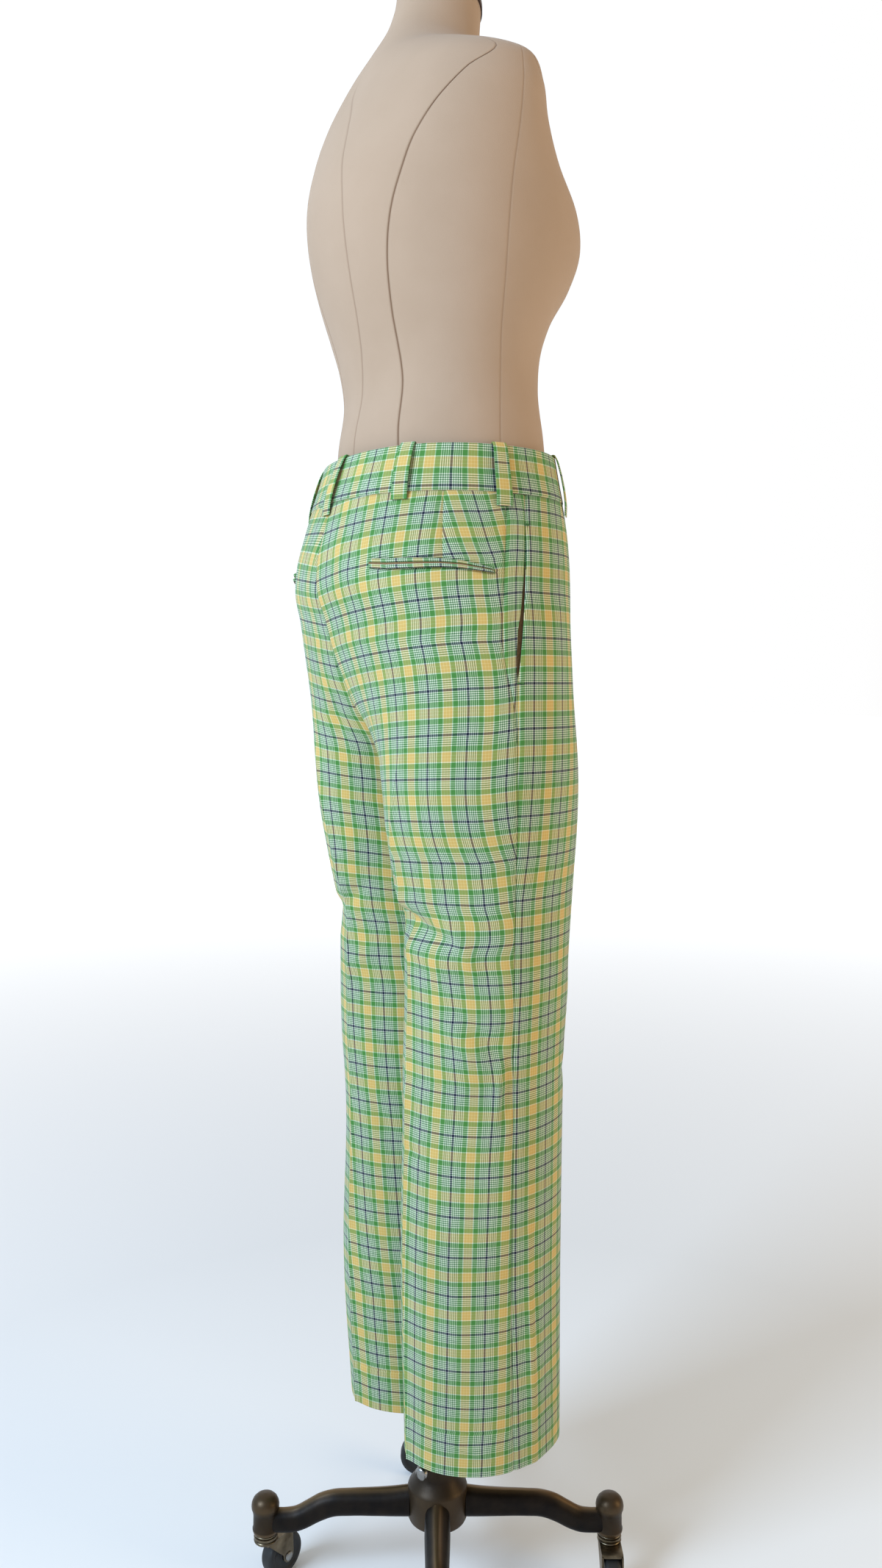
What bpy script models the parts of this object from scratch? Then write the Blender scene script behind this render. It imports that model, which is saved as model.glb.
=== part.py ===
"""Tailored trousers worn on a limbless dress form that stands on a castered iron base.

Metres, +Z up. The origin is on the floor, under the pole. The form faces -Y, so the wearer's right
side is -X. The trousers are one shell round the hips that parts into two legs at the crotch. Each
panel is a stretch of that shell, and what is sewn onto a panel is made from the shell's own points,
moved out. The pole runs down inside the right leg, which pushes both legs towards +X.
"""

import math

import bpy
import numpy as np

# Cloth
WALL = 0.0015
CLOTH_GAP = 0.0003
SEAM_SHARE = 0.0006

# Heights of the trousers
HEM_Z = 0.197
CROTCH_Z = 0.955
WAIST_SEAM_Z = 1.218
BAND_TOP_Z = 1.265
FRONT_RISE_TOP_Z = 1.06
BACK_RISE_TOP_Z = 1.13
LEG_SHAPE_TOP_Z = 1.10
LEG_SHAPE_FULL_Z = 0.84
HIP_FULLNESS = 0.045
LEG_FULLNESS = -0.030

# The pole's push on the legs
PUSH = 0.0185
PUSH_MIDDLE_Z = (1.17, 0.97)
PUSH_OUTER_Z = (1.00, 0.60)
PUSH_REACH = 0.12

BODY_COLUMNS = ("z", "half_width", "front", "back")
BODY_ROWS = (
    (1.270, 0.1375, 0.1075, 0.1080),
    (1.240, 0.1425, 0.1130, 0.1180),
    (1.215, 0.1490, 0.1165, 0.1265),
    (1.190, 0.1555, 0.1185, 0.1340),
    (1.160, 0.1630, 0.1180, 0.1415),
    (1.130, 0.1700, 0.1150, 0.1420),
    (1.100, 0.1750, 0.1120, 0.1335),
    (1.060, 0.1780, 0.1110, 0.1275),
    (1.000, 0.1780, 0.1085, 0.1220),
    (0.840, 0.1740, 0.1060, 0.1150),
)

LEG_COLUMNS = ("z", "front_crease", "front", "back_crease", "back", "outer", "inner")
LEG_ROWS = (
    (1.130, 0.0980, 0.1200, 0.0580, 0.1190, 0.1780, 0.0003),
    (0.955, 0.0980, 0.1170, 0.0610, 0.0970, 0.1720, 0.0003),
    (0.900, 0.0980, 0.1130, 0.0620, 0.0880, 0.1660, 0.0012),
    (0.850, 0.0975, 0.1110, 0.0625, 0.0780, 0.1600, 0.0016),
    (0.785, 0.0970, 0.1110, 0.0625, 0.0640, 0.1535, 0.0019),
    (0.600, 0.0970, 0.1095, 0.0620, 0.0615, 0.1465, 0.0020),
    (0.410, 0.0970, 0.1095, 0.0620, 0.0645, 0.1385, 0.0020),
    (0.197, 0.0970, 0.1105, 0.0620, 0.0605, 0.1375, 0.0020),
)

SIDE_COLUMNS = ("z", "side_y", "inseam_y")
SIDE_ROWS = (
    (1.270, 0.000, 0.005),
    (1.000, 0.000, 0.005),
    (0.700, -0.018, 0.000),
    (0.197, -0.028, -0.005),
)

# Where the side seam runs, and the front panel's edge along its pocket: shares of the way round
SEAM_COLUMNS = ("z", "seam", "opening")
SEAM_ROWS = (
    (1.270, 0.510, 0.450),
    (1.218, 0.520, 0.460),
    (1.194, 0.527, 0.470),
    (1.161, 0.538, 0.483),
    (1.125, 0.552, 0.500),
    (1.090, 0.565, 0.513),
    (1.070, 0.566, 0.519),
    (1.052, 0.559, 0.5235),
    (1.036, 0.549, 0.528),
    (1.013, 0.535, 0.532),
    (0.963, 0.522, 0.522),
    (0.908, 0.515, 0.515),
    (0.825, 0.510, 0.510),
    (0.604, 0.508, 0.508),
    (0.197, 0.503, 0.503),
)

# Folds pressed into the legs by their own weight: their depth is along the shell's normal
FOLD_COLUMNS = ("side", "q", "z", "depth", "q_width", "z_width", "slope")
FOLD_ROWS = (
    (-1, 0.770, 0.785, -0.0110, 0.080, 0.018, 0.10),
    (-1, 0.660, 0.755, 0.0045, 0.045, 0.020, 0.10),
    (-1, 0.600, 0.655, 0.0045, 0.050, 0.040, 0.25),
    (-1, 0.440, 0.300, 0.0040, 0.022, 0.110, 0.00),
    (-1, 0.250, 0.700, 0.0030, 0.050, 0.030, 0.15),
    (1, 0.710, 0.880, 0.0110, 0.130, 0.130, 0.00),
    (1, 0.690, 0.690, 0.0105, 0.120, 0.120, 0.00),
    (1, 0.700, 0.770, -0.0040, 0.060, 0.018, -0.10),
    (1, 0.670, 0.360, 0.0080, 0.100, 0.150, 0.00),
    (1, 0.260, 0.720, 0.0030, 0.050, 0.030, -0.15),
)

# Mesh density of the trousers
RISE_ROWS = 15
LEG_ROWS_COUNT = 17
PANEL_COLUMNS = 11
BAND_COLUMNS = 56

# Waistband, loops and closure
BAND_WALL = 0.0026
BAND_PROUD = 0.0008
BAND_SEAM_GAP = 0.0004
BAND_OPENING = 0.004
LOOP_WIDTH = 0.016
LOOP_WALL = 0.0013
LOOP_STAND_OFF = 0.0032
LOOP_TOP_Z = 1.267
LOOP_BOTTOM_Z = 1.206
LOOP_NAMES = ("front", "side", "back")
LOOP_Q = (0.26, 0.530, 0.772)
LOOP_LEVEL = 1.243
TAB_HALF_ANGLE = 0.11
TAB_INNER = 0.0012
TAB_OUTER = 0.0030
BUTTON_RADIUS = 0.0085
BUTTON_WALL = 0.0028
BUTTON_Z = 1.242
FLY_WIDTH = 0.040
FLY_BOTTOM_Z = 1.075
FLY_CURVE = 0.045
FLY_HIP_RADIUS = 0.15

# Pockets
BACK_POCKET_Q = (0.572, 0.832)
BACK_POCKET_Z = (1.1440, 1.1515)
BACK_POCKET_HEIGHT = 0.0095
BACK_POCKET_SLIT = 0.0007
SIDE_POCKET_Z = (1.036, 1.189)
SIDE_POCKET_END = 0.005
FACING_UNDER_Q = (0.014, 0.010)
FACING_WALL = 0.0012
FACING_GAP = 0.0010

# Dress form
FORM_FULLNESS = 0.03
FORM_SEGMENTS = 40
FORM_COLUMNS = ("z", "half_width", "front", "back", "centre_y", "lean")
FORM_ROWS = (
    (1.0400, 0.1400, 0.0780, 0.0880, 0.000, 0.00),
    (1.0470, 0.1560, 0.0910, 0.1020, 0.000, 0.00),
    (1.0700, 0.1660, 0.0970, 0.1110, 0.000, 0.00),
    (1.1300, 0.1640, 0.0990, 0.1200, 0.000, 0.00),
    (1.1900, 0.1500, 0.1010, 0.1140, 0.000, 0.00),
    (1.2250, 0.1428, 0.1000, 0.1040, 0.000, 0.00),
    (1.2400, 0.1400, 0.0990, 0.0990, 0.000, 0.00),
    (1.2620, 0.1345, 0.0985, 0.0965, 0.000, 0.00),
    (1.2850, 0.1300, 0.0980, 0.0955, 0.000, 0.00),
    (1.3350, 0.1255, 0.0915, 0.0885, 0.000, 0.00),
    (1.3700, 0.1310, 0.0920, 0.0930, 0.000, 0.00),
    (1.4000, 0.1405, 0.1010, 0.1010, 0.000, 0.00),
    (1.4400, 0.1525, 0.1255, 0.1130, 0.000, 0.00),
    (1.4750, 0.1600, 0.1370, 0.1215, 0.000, 0.00),
    (1.5050, 0.1630, 0.1290, 0.1260, 0.000, 0.00),
    (1.5400, 0.1660, 0.0960, 0.1250, 0.000, 0.00),
    (1.5750, 0.1685, 0.0720, 0.1160, 0.000, 0.00),
    (1.6050, 0.1670, 0.0640, 0.1050, 0.000, 0.00),
    (1.6300, 0.1540, 0.0570, 0.0930, 0.000, 0.02),
    (1.6480, 0.1170, 0.0500, 0.0840, -0.001, 0.06),
    (1.6620, 0.0760, 0.0430, 0.0720, -0.001, 0.15),
    (1.6780, 0.0560, 0.0385, 0.0590, -0.002, 0.28),
    (1.7050, 0.0470, 0.0375, 0.0470, -0.003, 0.42),
    (1.7400, 0.0450, 0.0390, 0.0420, -0.004, 0.50),
)
NECK_CAP_WALL = 0.008
NECK_CAP_OVERHANG = 0.0015
NECK_CAP_ROUND = 0.002

# Stand: the base is turned so that its legs run between the form's front and side
BASE_YAW = math.radians(150.0)
POLE_RADIUS = 0.0115
POLE_CLEARANCE = 0.0004
POLE_BOTTOM_Z = 0.090
FLANGE_RADIUS = 0.032
FLANGE_WALL = 0.006
HUB_SIDES = 22
HUB_PROFILE = (
    (0.0300, 0.0820),
    (0.0340, 0.0860),
    (0.0340, 0.1200),
    (0.0290, 0.1280),
    (0.0235, 0.1370),
    (0.0220, 0.1480),
    (0.0220, 0.1660),
    (0.0205, 0.1680),
)
POST_DISTANCE = 0.1976
POST_SIDES = 18
POST_BOTTOM_Z = 0.0640
POST_PROFILE = (
    (0.0135, 0.0640),
    (0.0150, 0.0660),
    (0.0150, 0.0980),
    (0.0125, 0.1070),
    (0.0060, 0.1110),
)
# Half width, bottom and top of a base leg at each distance from the pole
LEG_SECTION_ROWS = (
    (0.0343, 0.0145, 0.0850, 0.1210),
    (0.0500, 0.0150, 0.0845, 0.1190),
    (0.0800, 0.0135, 0.0820, 0.1140),
    (0.1200, 0.0120, 0.0760, 0.1070),
    (0.1560, 0.0115, 0.0705, 0.1020),
    (0.1800, 0.0115, 0.0690, 0.1005),
    (0.1960, 0.0105, 0.0700, 0.1010),
)
LOCK_SCREW_Z = 0.152
LOCK_SCREW_YAW = math.radians(118.0)
LOCK_SCREW_PROFILE = (
    (0.0035, 0.0223),
    (0.0035, 0.0290),
    (0.0065, 0.0295),
    (0.0075, 0.0330),
    (0.0065, 0.0365),
    (0.0030, 0.0375),
)

# Casters: the yaws are where each wheel trails, in the order of the legs
CASTER_TRAIL = 0.024
TRAIL_YAWS = (240.0, 150.0, 60.0, 290.0)
WHEEL_SIDES = 20
WHEEL_RADIUS = 0.025
WHEEL_HALF_WIDTH = 0.009
AXLE_RADIUS = 0.0030
AXLE_CLEARANCE = 0.0004
CHEEK_GAP = 0.0010
CHEEK_WALL = 0.0025
CHEEK_HALF_LENGTH = 0.0080
CHEEK_DROP = 0.0075
PIN_END = 0.0015
TREAD_ROUND = 0.0025
CROWN_BOTTOM_Z = 0.0525
CROWN_TOP_Z = 0.0570
BEARING_RADIUS = 0.0130

PAINTS = {
    "plaid_cotton": ((0.36, 0.55, 0.20), 0.80, 0.0),
    "pocketing": ((0.55, 0.36, 0.18), 0.90, 0.0),
    "button": ((0.30, 0.42, 0.16), 0.40, 0.0),
    "ecru_jersey": ((0.72, 0.64, 0.54), 0.85, 0.0),
    "neck_cap": ((0.07, 0.04, 0.03), 0.55, 0.0),
    "dark_iron": ((0.10, 0.075, 0.055), 0.45, 0.9),
    "steel": ((0.55, 0.54, 0.52), 0.30, 1.0),
    "nickel": ((0.60, 0.56, 0.48), 0.30, 1.0),
    "rubber": ((0.02, 0.02, 0.02), 0.70, 0.0),
}


def column(rows, columns, name, z):
    """The named column at each height z: a smooth curve through the rows, by cubic Hermite pieces."""
    table = np.array(sorted(rows))
    heights = table[:, 0]
    values = table[:, columns.index(name)]
    slopes = np.gradient(values, heights)
    z = np.clip(z, heights[0], heights[-1])
    i = np.clip(np.searchsorted(heights, z) - 1, 0, len(heights) - 2)
    step = heights[i + 1] - heights[i]
    t = (z - heights[i]) / step
    ease = t * t * (3.0 - 2.0 * t)
    start = slopes[i] * step * t * (1.0 - t) ** 2
    end = slopes[i + 1] * step * t * t * (1.0 - t)
    return values[i] + (values[i + 1] - values[i]) * ease + start - end


def smooth(start, end, value):
    """0 at start, 1 at end, and an even S between."""
    t = np.clip((value - start) / (end - start), 0.0, 1.0)
    return t * t * (3.0 - 2.0 * t)


def rise_curve(z, top_z):
    """1 at top_z and 0 at the crotch, along a quarter of an ellipse, as a rise seam is cut."""
    t = np.clip((z - CROTCH_Z) / (top_z - CROTCH_Z), 0.0, 1.0)
    return np.sqrt(1.0 - (1.0 - t) ** 2)


def hip_section(z, q):
    """Distance from the middle plane and y, round the hips: q is 0 at the front, 1 at the back."""
    angle = np.pi * q
    full = 1.0 + HIP_FULLNESS * np.sin(2.0 * angle) ** 2
    side_y = column(SIDE_ROWS, SIDE_COLUMNS, "side_y", z)
    front = column(BODY_ROWS, BODY_COLUMNS, "front", z) + side_y
    back = column(BODY_ROWS, BODY_COLUMNS, "back", z) - side_y
    depth = np.where(q < 0.5, front, back)
    out = column(BODY_ROWS, BODY_COLUMNS, "half_width", z) * np.sin(angle) * full
    return out, side_y - depth * np.cos(angle) * full


def leg_section(z, q):
    """The same round one leg: q runs inseam, front crease, side seam, back crease, inseam."""
    angle = 2.0 * np.pi * q
    full = 1.0 + LEG_FULLNESS * np.sin(2.0 * angle) ** 2
    leg = {name: column(LEG_ROWS, LEG_COLUMNS, name, z) for name in LEG_COLUMNS[1:]}
    crease = np.where(q < 0.5, leg["front_crease"], leg["back_crease"])
    reach = np.where(np.cos(angle) > 0.0, crease - leg["inner"], leg["outer"] - crease)
    out = crease - reach * np.cos(angle) * full
    inseam_y = column(SIDE_ROWS, SIDE_COLUMNS, "inseam_y", z)
    side_y = column(SIDE_ROWS, SIDE_COLUMNS, "side_y", z)
    centre_y = inseam_y + (side_y - inseam_y) * (1.0 - np.cos(angle)) / 2.0
    depth = np.where(q < 0.5, leg["front"] + centre_y, leg["back"] - centre_y)
    return out, centre_y - depth * np.sin(angle) * full


def folds(side, z, q):
    """How far the cloth stands out of its plain form, as a sum of soft slanting ridges and troughs."""
    height = np.zeros(np.broadcast(z, q).shape)
    for row in FOLD_ROWS:
        fold = dict(zip(FOLD_COLUMNS, row))
        if fold["side"] != side:
            continue
        across = (q - fold["q"] - fold["slope"] * (z - fold["z"])) / fold["q_width"]
        along = (z - fold["z"]) / fold["z_width"]
        height = height + fold["depth"] * np.exp(-(across**2) - along**2)
    return height


def plain_point(side, z, q):
    """A point of the trousers' outer surface, before folds. side is -1 for the wearer's right."""
    end_distance = np.minimum(q, 1.0 - q)
    rise_top = np.where(q < 0.5, FRONT_RISE_TOP_Z, BACK_RISE_TOP_Z)
    at_seam = 1.0 - rise_curve(z, rise_top)
    away = smooth(LEG_SHAPE_TOP_Z, LEG_SHAPE_FULL_Z, z)
    leg_share = away + (at_seam - away) * np.exp(-((end_distance / 0.10) ** 2))
    hip_out, hip_y = hip_section(z, q)
    leg_out, leg_y = leg_section(z, q)
    out = hip_out + (leg_out - hip_out) * leg_share
    y = hip_y + (leg_y - hip_y) * leg_share
    outer_share = smooth(0.0, PUSH_REACH, out)
    push = PUSH * smooth(*PUSH_MIDDLE_Z, z) * (1.0 - outer_share)
    push = push + PUSH * smooth(*PUSH_OUTER_Z, z) * outer_share
    return np.stack(np.broadcast_arrays(side * out + push, y, z), axis=-1)


def normal(side, z, q):
    """The surface's outward normal, from points a small step away each way."""
    step = 0.0005
    z, q = np.broadcast_arrays(z, q)
    below = z < CROTCH_Z
    after = np.where(below, np.mod(q + step, 1.0), np.minimum(q + step, 1.0))
    before = np.where(below, np.mod(q - step, 1.0), np.maximum(q - step, 0.0))
    round_it = plain_point(side, z, after) - plain_point(side, z, before)
    down = plain_point(side, z - step, q) - plain_point(side, z + step, q)
    out = -side * np.cross(round_it, down)
    at_middle = (np.minimum(q, 1.0 - q) < 0.002) & (z >= CROTCH_Z)
    out[..., 0] = np.where(at_middle, 0.0, out[..., 0])
    return out / np.linalg.norm(out, axis=-1, keepdims=True)


def shell(side, z, q, offset=0.0):
    """Points of the folded outer surface, moved out by offset."""
    out = folds(side, z, q) + offset
    return plain_point(side, z, q) + normal(side, z, q) * out[..., None]


def paint(obj, name):
    material = bpy.data.materials.get(name) or bpy.data.materials.new(name)
    material.use_nodes = True
    colour, roughness, metallic = PAINTS[name]
    principled = material.node_tree.nodes["Principled BSDF"]
    principled.inputs["Base Color"].default_value = (*colour, 1.0)
    principled.inputs["Roughness"].default_value = roughness
    principled.inputs["Metallic"].default_value = metallic
    material.diffuse_color = (*colour, 1.0)
    obj.data.materials.append(material)


def add_mesh(name, points, faces, paint_name):
    mesh = bpy.data.meshes.new(name)
    mesh.from_pydata(points, [], faces)
    mesh.shade_smooth()
    mesh.set_sharp_from_angle(angle=math.radians(35.0))
    obj = bpy.data.objects.new(name, mesh)
    bpy.context.scene.collection.objects.link(obj)
    paint(obj, paint_name)
    return obj


def grid_quads(rows, columns, start, closed):
    """Quads of a grid whose rows run down and whose columns run round. closed joins the last to the first."""
    index = start + np.arange(rows * columns).reshape(rows, columns)
    if closed:
        index = np.hstack([index, index[:, :1]])
    corners = (index[:-1, :-1], index[:-1, 1:], index[1:, 1:], index[1:, :-1])
    return np.stack([corner.ravel() for corner in corners], axis=1)


def add_wall(name, outer, inner, paint_name, flip=False, closed=False):
    """A closed wall between an outer and an inner grid of points."""
    rows, columns = outer.shape[:2]
    count = rows * columns
    index = np.arange(count).reshape(rows, columns)
    faces = [grid_quads(rows, columns, 0, closed)]
    faces.append(grid_quads(rows, columns, count, closed)[:, ::-1])
    rims = [index[0, ::-1], index[-1]]
    if closed:
        rims = [np.append(index[0], index[0, 0])[::-1], np.append(index[-1], index[-1, 0])]
    else:
        rims += [index[:, 0], index[::-1, -1]]
    for rim in rims:
        faces.append(np.stack([rim[:-1], rim[1:], rim[1:] + count, rim[:-1] + count], axis=1))
    faces = np.vstack(faces)
    if flip:
        faces = faces[:, ::-1]
    points = np.vstack([outer.reshape(-1, 3), inner.reshape(-1, 3)])
    return add_mesh(name, points.tolist(), faces.tolist(), paint_name)


def add_loft(name, rings, paint_name):
    """A solid through closed rings of points, bottom ring first, with flat ends."""
    rows, columns = rings.shape[:2]
    sides = grid_quads(rows, columns, 0, closed=True).tolist()
    top = list(range((rows - 1) * columns, rows * columns))
    bottom = list(range(columns))[::-1]
    return add_mesh(name, rings.reshape(-1, 3).tolist(), [*sides, top, bottom], paint_name)


def turned_rings(profile, sides, centre=(0.0, 0.0)):
    """Rings round +Z through (radius, z) pairs, lowest first."""
    angle = 2.0 * np.pi * np.arange(sides) / sides
    rings = [
        np.stack(
            [centre[0] + r * np.cos(angle), centre[1] + r * np.sin(angle), np.full(sides, z)],
            axis=1,
        )
        for r, z in profile
    ]
    return np.array(rings)


def union(obj, tools):
    """Joins the hidden tools to the object."""
    for tool in tools:
        tool.hide_render = True
        tool.display_type = "WIRE"
        modifier = obj.modifiers.new("Join " + tool.name, "BOOLEAN")
        modifier.operation = "UNION"
        modifier.object = tool


def side_name(side):
    return "right" if side < 0 else "left"


def front_edge(z):
    """Where the front panel ends: at the side seam, or at the pocket's opening along the pocket."""
    seam = column(SEAM_ROWS, SEAM_COLUMNS, "seam", z)
    opening = column(SEAM_ROWS, SEAM_COLUMNS, "opening", z)
    low, high = SIDE_POCKET_Z
    in_pocket = smooth(low - SIDE_POCKET_END, low + SIDE_POCKET_END, z)
    in_pocket = in_pocket * smooth(high + SIDE_POCKET_END, high - SIDE_POCKET_END, z)
    return seam + (opening - seam) * in_pocket


def add_panels():
    """Front and back panels of each side. The front one is cut back from the side seam to its pocket's opening."""
    rise = CROTCH_Z + (WAIST_SEAM_Z - CROTCH_Z) * (1.0 - np.arange(RISE_ROWS) / RISE_ROWS) ** 1.6
    leg = CROTCH_Z + (HEM_Z - CROTCH_Z) * (np.arange(LEG_ROWS_COUNT + 1) / LEG_ROWS_COUNT) ** 1.25
    z = np.concatenate([rise, leg])[:, None]
    share = np.linspace(0.0, 1.0, PANEL_COLUMNS + 1)[None, :]
    seam = column(SEAM_ROWS, SEAM_COLUMNS, "seam", z)
    spans = {
        "front": (SEAM_SHARE, front_edge(z) - SEAM_SHARE),
        "back": (seam + SEAM_SHARE, 1.0 - SEAM_SHARE),
    }
    for side in (-1, 1):
        for part, (start, end) in spans.items():
            q = start + (end - start) * share
            outer = shell(side, z + 0.0 * q, q + 0.0 * z)
            inner = shell(side, z + 0.0 * q, q + 0.0 * z, -WALL)
            add_wall(f"{part}_panel_{side_name(side)}", outer, inner, "plaid_cotton", side > 0)


def ring_points(z, q_turn, offset):
    """Points round both sides of the waist: q_turn runs 0 to 2, from the front over the right side."""
    side = np.where(q_turn < 1.0, -1, 1)
    q = np.where(q_turn < 1.0, q_turn, 2.0 - q_turn)
    right = shell(-1, z + 0.0 * q, q + 0.0 * z, offset)
    left = shell(1, z + 0.0 * q, q + 0.0 * z, offset)
    return np.where((side < 0)[..., None], right, left)


def add_waistband():
    """One band round the waist, open at the front middle under the tab."""
    q_turn = np.linspace(BAND_OPENING, 2.0 - BAND_OPENING, BAND_COLUMNS + 1)[None, :]
    z = np.linspace(BAND_TOP_Z, WAIST_SEAM_Z + BAND_SEAM_GAP, 4)[:, None]
    outer = ring_points(z, q_turn, BAND_PROUD)
    inner = ring_points(z, q_turn, BAND_PROUD - BAND_WALL)
    add_wall("waistband", outer, inner, "plaid_cotton")


def add_patch(name, side, z, q, inner_offset, outer_offset, paint_name):
    """A closed wall that follows the trousers between two offsets, which may vary over the grid."""
    z, q = np.broadcast_arrays(z, q)
    outer = shell(side, z, q, outer_offset)
    inner = shell(side, z, q, inner_offset)
    return add_wall(name, outer, inner, paint_name, side > 0)


def half_loop(middle, side):
    """Half of a loop's width as a step of q, measured on the band about the loop's middle."""
    step = 0.01
    across = shell(side, LOOP_LEVEL, middle + step) - shell(side, LOOP_LEVEL, middle - step)
    return step * LOOP_WIDTH / np.linalg.norm(across)


def add_belt_loops():
    """Seven loops, each sewn down at its ends and standing off the band between them."""
    z = np.linspace(LOOP_TOP_Z, LOOP_BOTTOM_Z, 9)[:, None]
    ease = np.sin(np.pi * (LOOP_TOP_Z - z) / (LOOP_TOP_Z - LOOP_BOTTOM_Z)) ** 0.5
    stand_off = BAND_PROUD + CLOTH_GAP + LOOP_STAND_OFF * ease
    for side in (-1, 1):
        for name, middle in zip(LOOP_NAMES, LOOP_Q):
            half = half_loop(middle, side)
            q = np.linspace(middle - half, middle + half, 4)[None, :]
            add_patch(
                f"belt_loop_{name}_{side_name(side)}", side, z, q,
                stand_off, stand_off + LOOP_WALL, "plaid_cotton",
            )
    half = half_loop(0.99, -1)
    q_turn = np.linspace(1.0 - half, 1.0 + half, 5)[None, :]
    outer = ring_points(z, q_turn, stand_off + LOOP_WALL)
    inner = ring_points(z, q_turn, stand_off)
    add_wall("belt_loop_centre_back", outer, inner, "plaid_cotton")


def add_closure():
    """The band's tab over the front opening, its button, and the fly's flap under it."""
    z = np.linspace(BAND_TOP_Z - 0.001, WAIST_SEAM_Z + 0.002, 4)[:, None]
    q_turn = np.linspace(-TAB_HALF_ANGLE, TAB_HALF_ANGLE, 9)[None, :]
    turn = np.mod(q_turn, 2.0)
    outer = ring_points(z, turn, TAB_OUTER)
    inner = ring_points(z, turn, TAB_INNER)
    add_wall("waistband_tab", outer, inner, "plaid_cotton")

    tab_face = TAB_OUTER + CLOTH_GAP
    start = shell(-1, BUTTON_Z, 0.0, tab_face)
    end = shell(-1, BUTTON_Z, 0.0, tab_face + BUTTON_WALL)
    add_cylinder("waist_button", start, end, BUTTON_RADIUS, 20, "button")

    z = np.linspace(WAIST_SEAM_Z - 0.001, FLY_BOTTOM_Z, 9)[:, None]
    drop = np.clip((z - FLY_BOTTOM_Z) / FLY_CURVE, 0.0, 1.0)
    width = FLY_WIDTH * (0.1 + 0.9 * np.sqrt(1.0 - (1.0 - drop) ** 2))
    share = np.linspace(0.0, 1.0, 6)[None, :]
    q = width / (np.pi * FLY_HIP_RADIUS) * share + 0.002
    add_patch("fly_flap", 1, z, q, CLOTH_GAP, CLOTH_GAP + WALL, "plaid_cotton")


def add_pockets():
    """Welts of the back pockets, and the facings that show where the side pockets gape."""
    share = np.linspace(0.0, 1.0, 15)[None, :]
    q = BACK_POCKET_Q[0] + (BACK_POCKET_Q[1] - BACK_POCKET_Q[0]) * share
    droop = BACK_POCKET_Z[1] + (BACK_POCKET_Z[0] - BACK_POCKET_Z[1]) * (1.0 - share) ** 2
    across = np.array([0.5, 0.12, 0.0, -0.12, -0.5])[:, None]
    z = droop + BACK_POCKET_HEIGHT * across
    slit = np.where(np.abs(across) < 0.05, BACK_POCKET_SLIT, 0.0)
    facing_z = np.linspace(SIDE_POCKET_Z[1], SIDE_POCKET_Z[0], 9)[:, None]
    facing_start = column(SEAM_ROWS, SEAM_COLUMNS, "opening", facing_z) - FACING_UNDER_Q[0]
    facing_end = column(SEAM_ROWS, SEAM_COLUMNS, "seam", facing_z) + FACING_UNDER_Q[1]
    facing_q = facing_start + (facing_end - facing_start) * np.linspace(0.0, 1.0, 5)[None, :]
    for side in (-1, 1):
        add_patch(
            f"back_pocket_welt_{side_name(side)}", side, z, q,
            CLOTH_GAP, CLOTH_GAP + WALL - slit + 0.0 * q, "plaid_cotton",
        )
        add_patch(
            f"side_pocket_facing_{side_name(side)}", side, facing_z, facing_q,
            -WALL - FACING_GAP - FACING_WALL, -WALL - FACING_GAP, "pocketing",
        )


def form_ring(row, grow=0.0, lift=0.0):
    """A ring of the form: an egg with the row's half width, front and back, leaning with the neck."""
    ring = dict(zip(FORM_COLUMNS, row))
    angle = 2.0 * np.pi * np.arange(FORM_SEGMENTS) / FORM_SEGMENTS
    full = 1.0 + FORM_FULLNESS * np.sin(2.0 * angle) ** 2
    depth = np.where(np.cos(angle) > 0.0, ring["front"], ring["back"]) + grow
    x = -(ring["half_width"] + grow) * np.sin(angle) * full
    y = ring["centre_y"] - depth * np.cos(angle) * full
    z = ring["z"] + lift + ring["lean"] * (y - ring["centre_y"])
    return np.stack([x, y, z], axis=1)[::-1]


def add_form():
    """The padded form as one closed loft, and the neck's cap."""
    add_loft("dress_form", np.array([form_ring(row) for row in FORM_ROWS]), "ecru_jersey")
    neck = FORM_ROWS[-1]
    rings = [
        form_ring(neck, grow=NECK_CAP_OVERHANG, lift=CLOTH_GAP),
        form_ring(neck, grow=NECK_CAP_OVERHANG, lift=CLOTH_GAP + NECK_CAP_WALL - NECK_CAP_ROUND),
        form_ring(neck, grow=NECK_CAP_OVERHANG - NECK_CAP_ROUND, lift=CLOTH_GAP + NECK_CAP_WALL),
    ]
    add_loft("neck_cap", np.array(rings), "neck_cap")


def add_pole():
    form_bottom = FORM_ROWS[0][0] - CLOTH_GAP
    profile = (
        (POLE_RADIUS, POLE_BOTTOM_Z),
        (POLE_RADIUS, form_bottom - FLANGE_WALL),
        (FLANGE_RADIUS, form_bottom - FLANGE_WALL + 0.0005),
        (FLANGE_RADIUS, form_bottom),
    )
    add_loft("pole", turned_rings(profile, 20), "steel")


def add_hub():
    """The base's turned hub, with a bore right through for the pole."""
    bore = POLE_RADIUS + POLE_CLEARANCE
    bottom, top = HUB_PROFILE[0][1], HUB_PROFILE[-1][1]
    outer = turned_rings(HUB_PROFILE, HUB_SIDES)[::-1]
    heights = np.linspace(top, bottom, len(HUB_PROFILE))
    inner = turned_rings([(bore, z) for z in heights], HUB_SIDES)
    add_wall("base_hub", outer, inner, "dark_iron", flip=True, closed=True)


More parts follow.
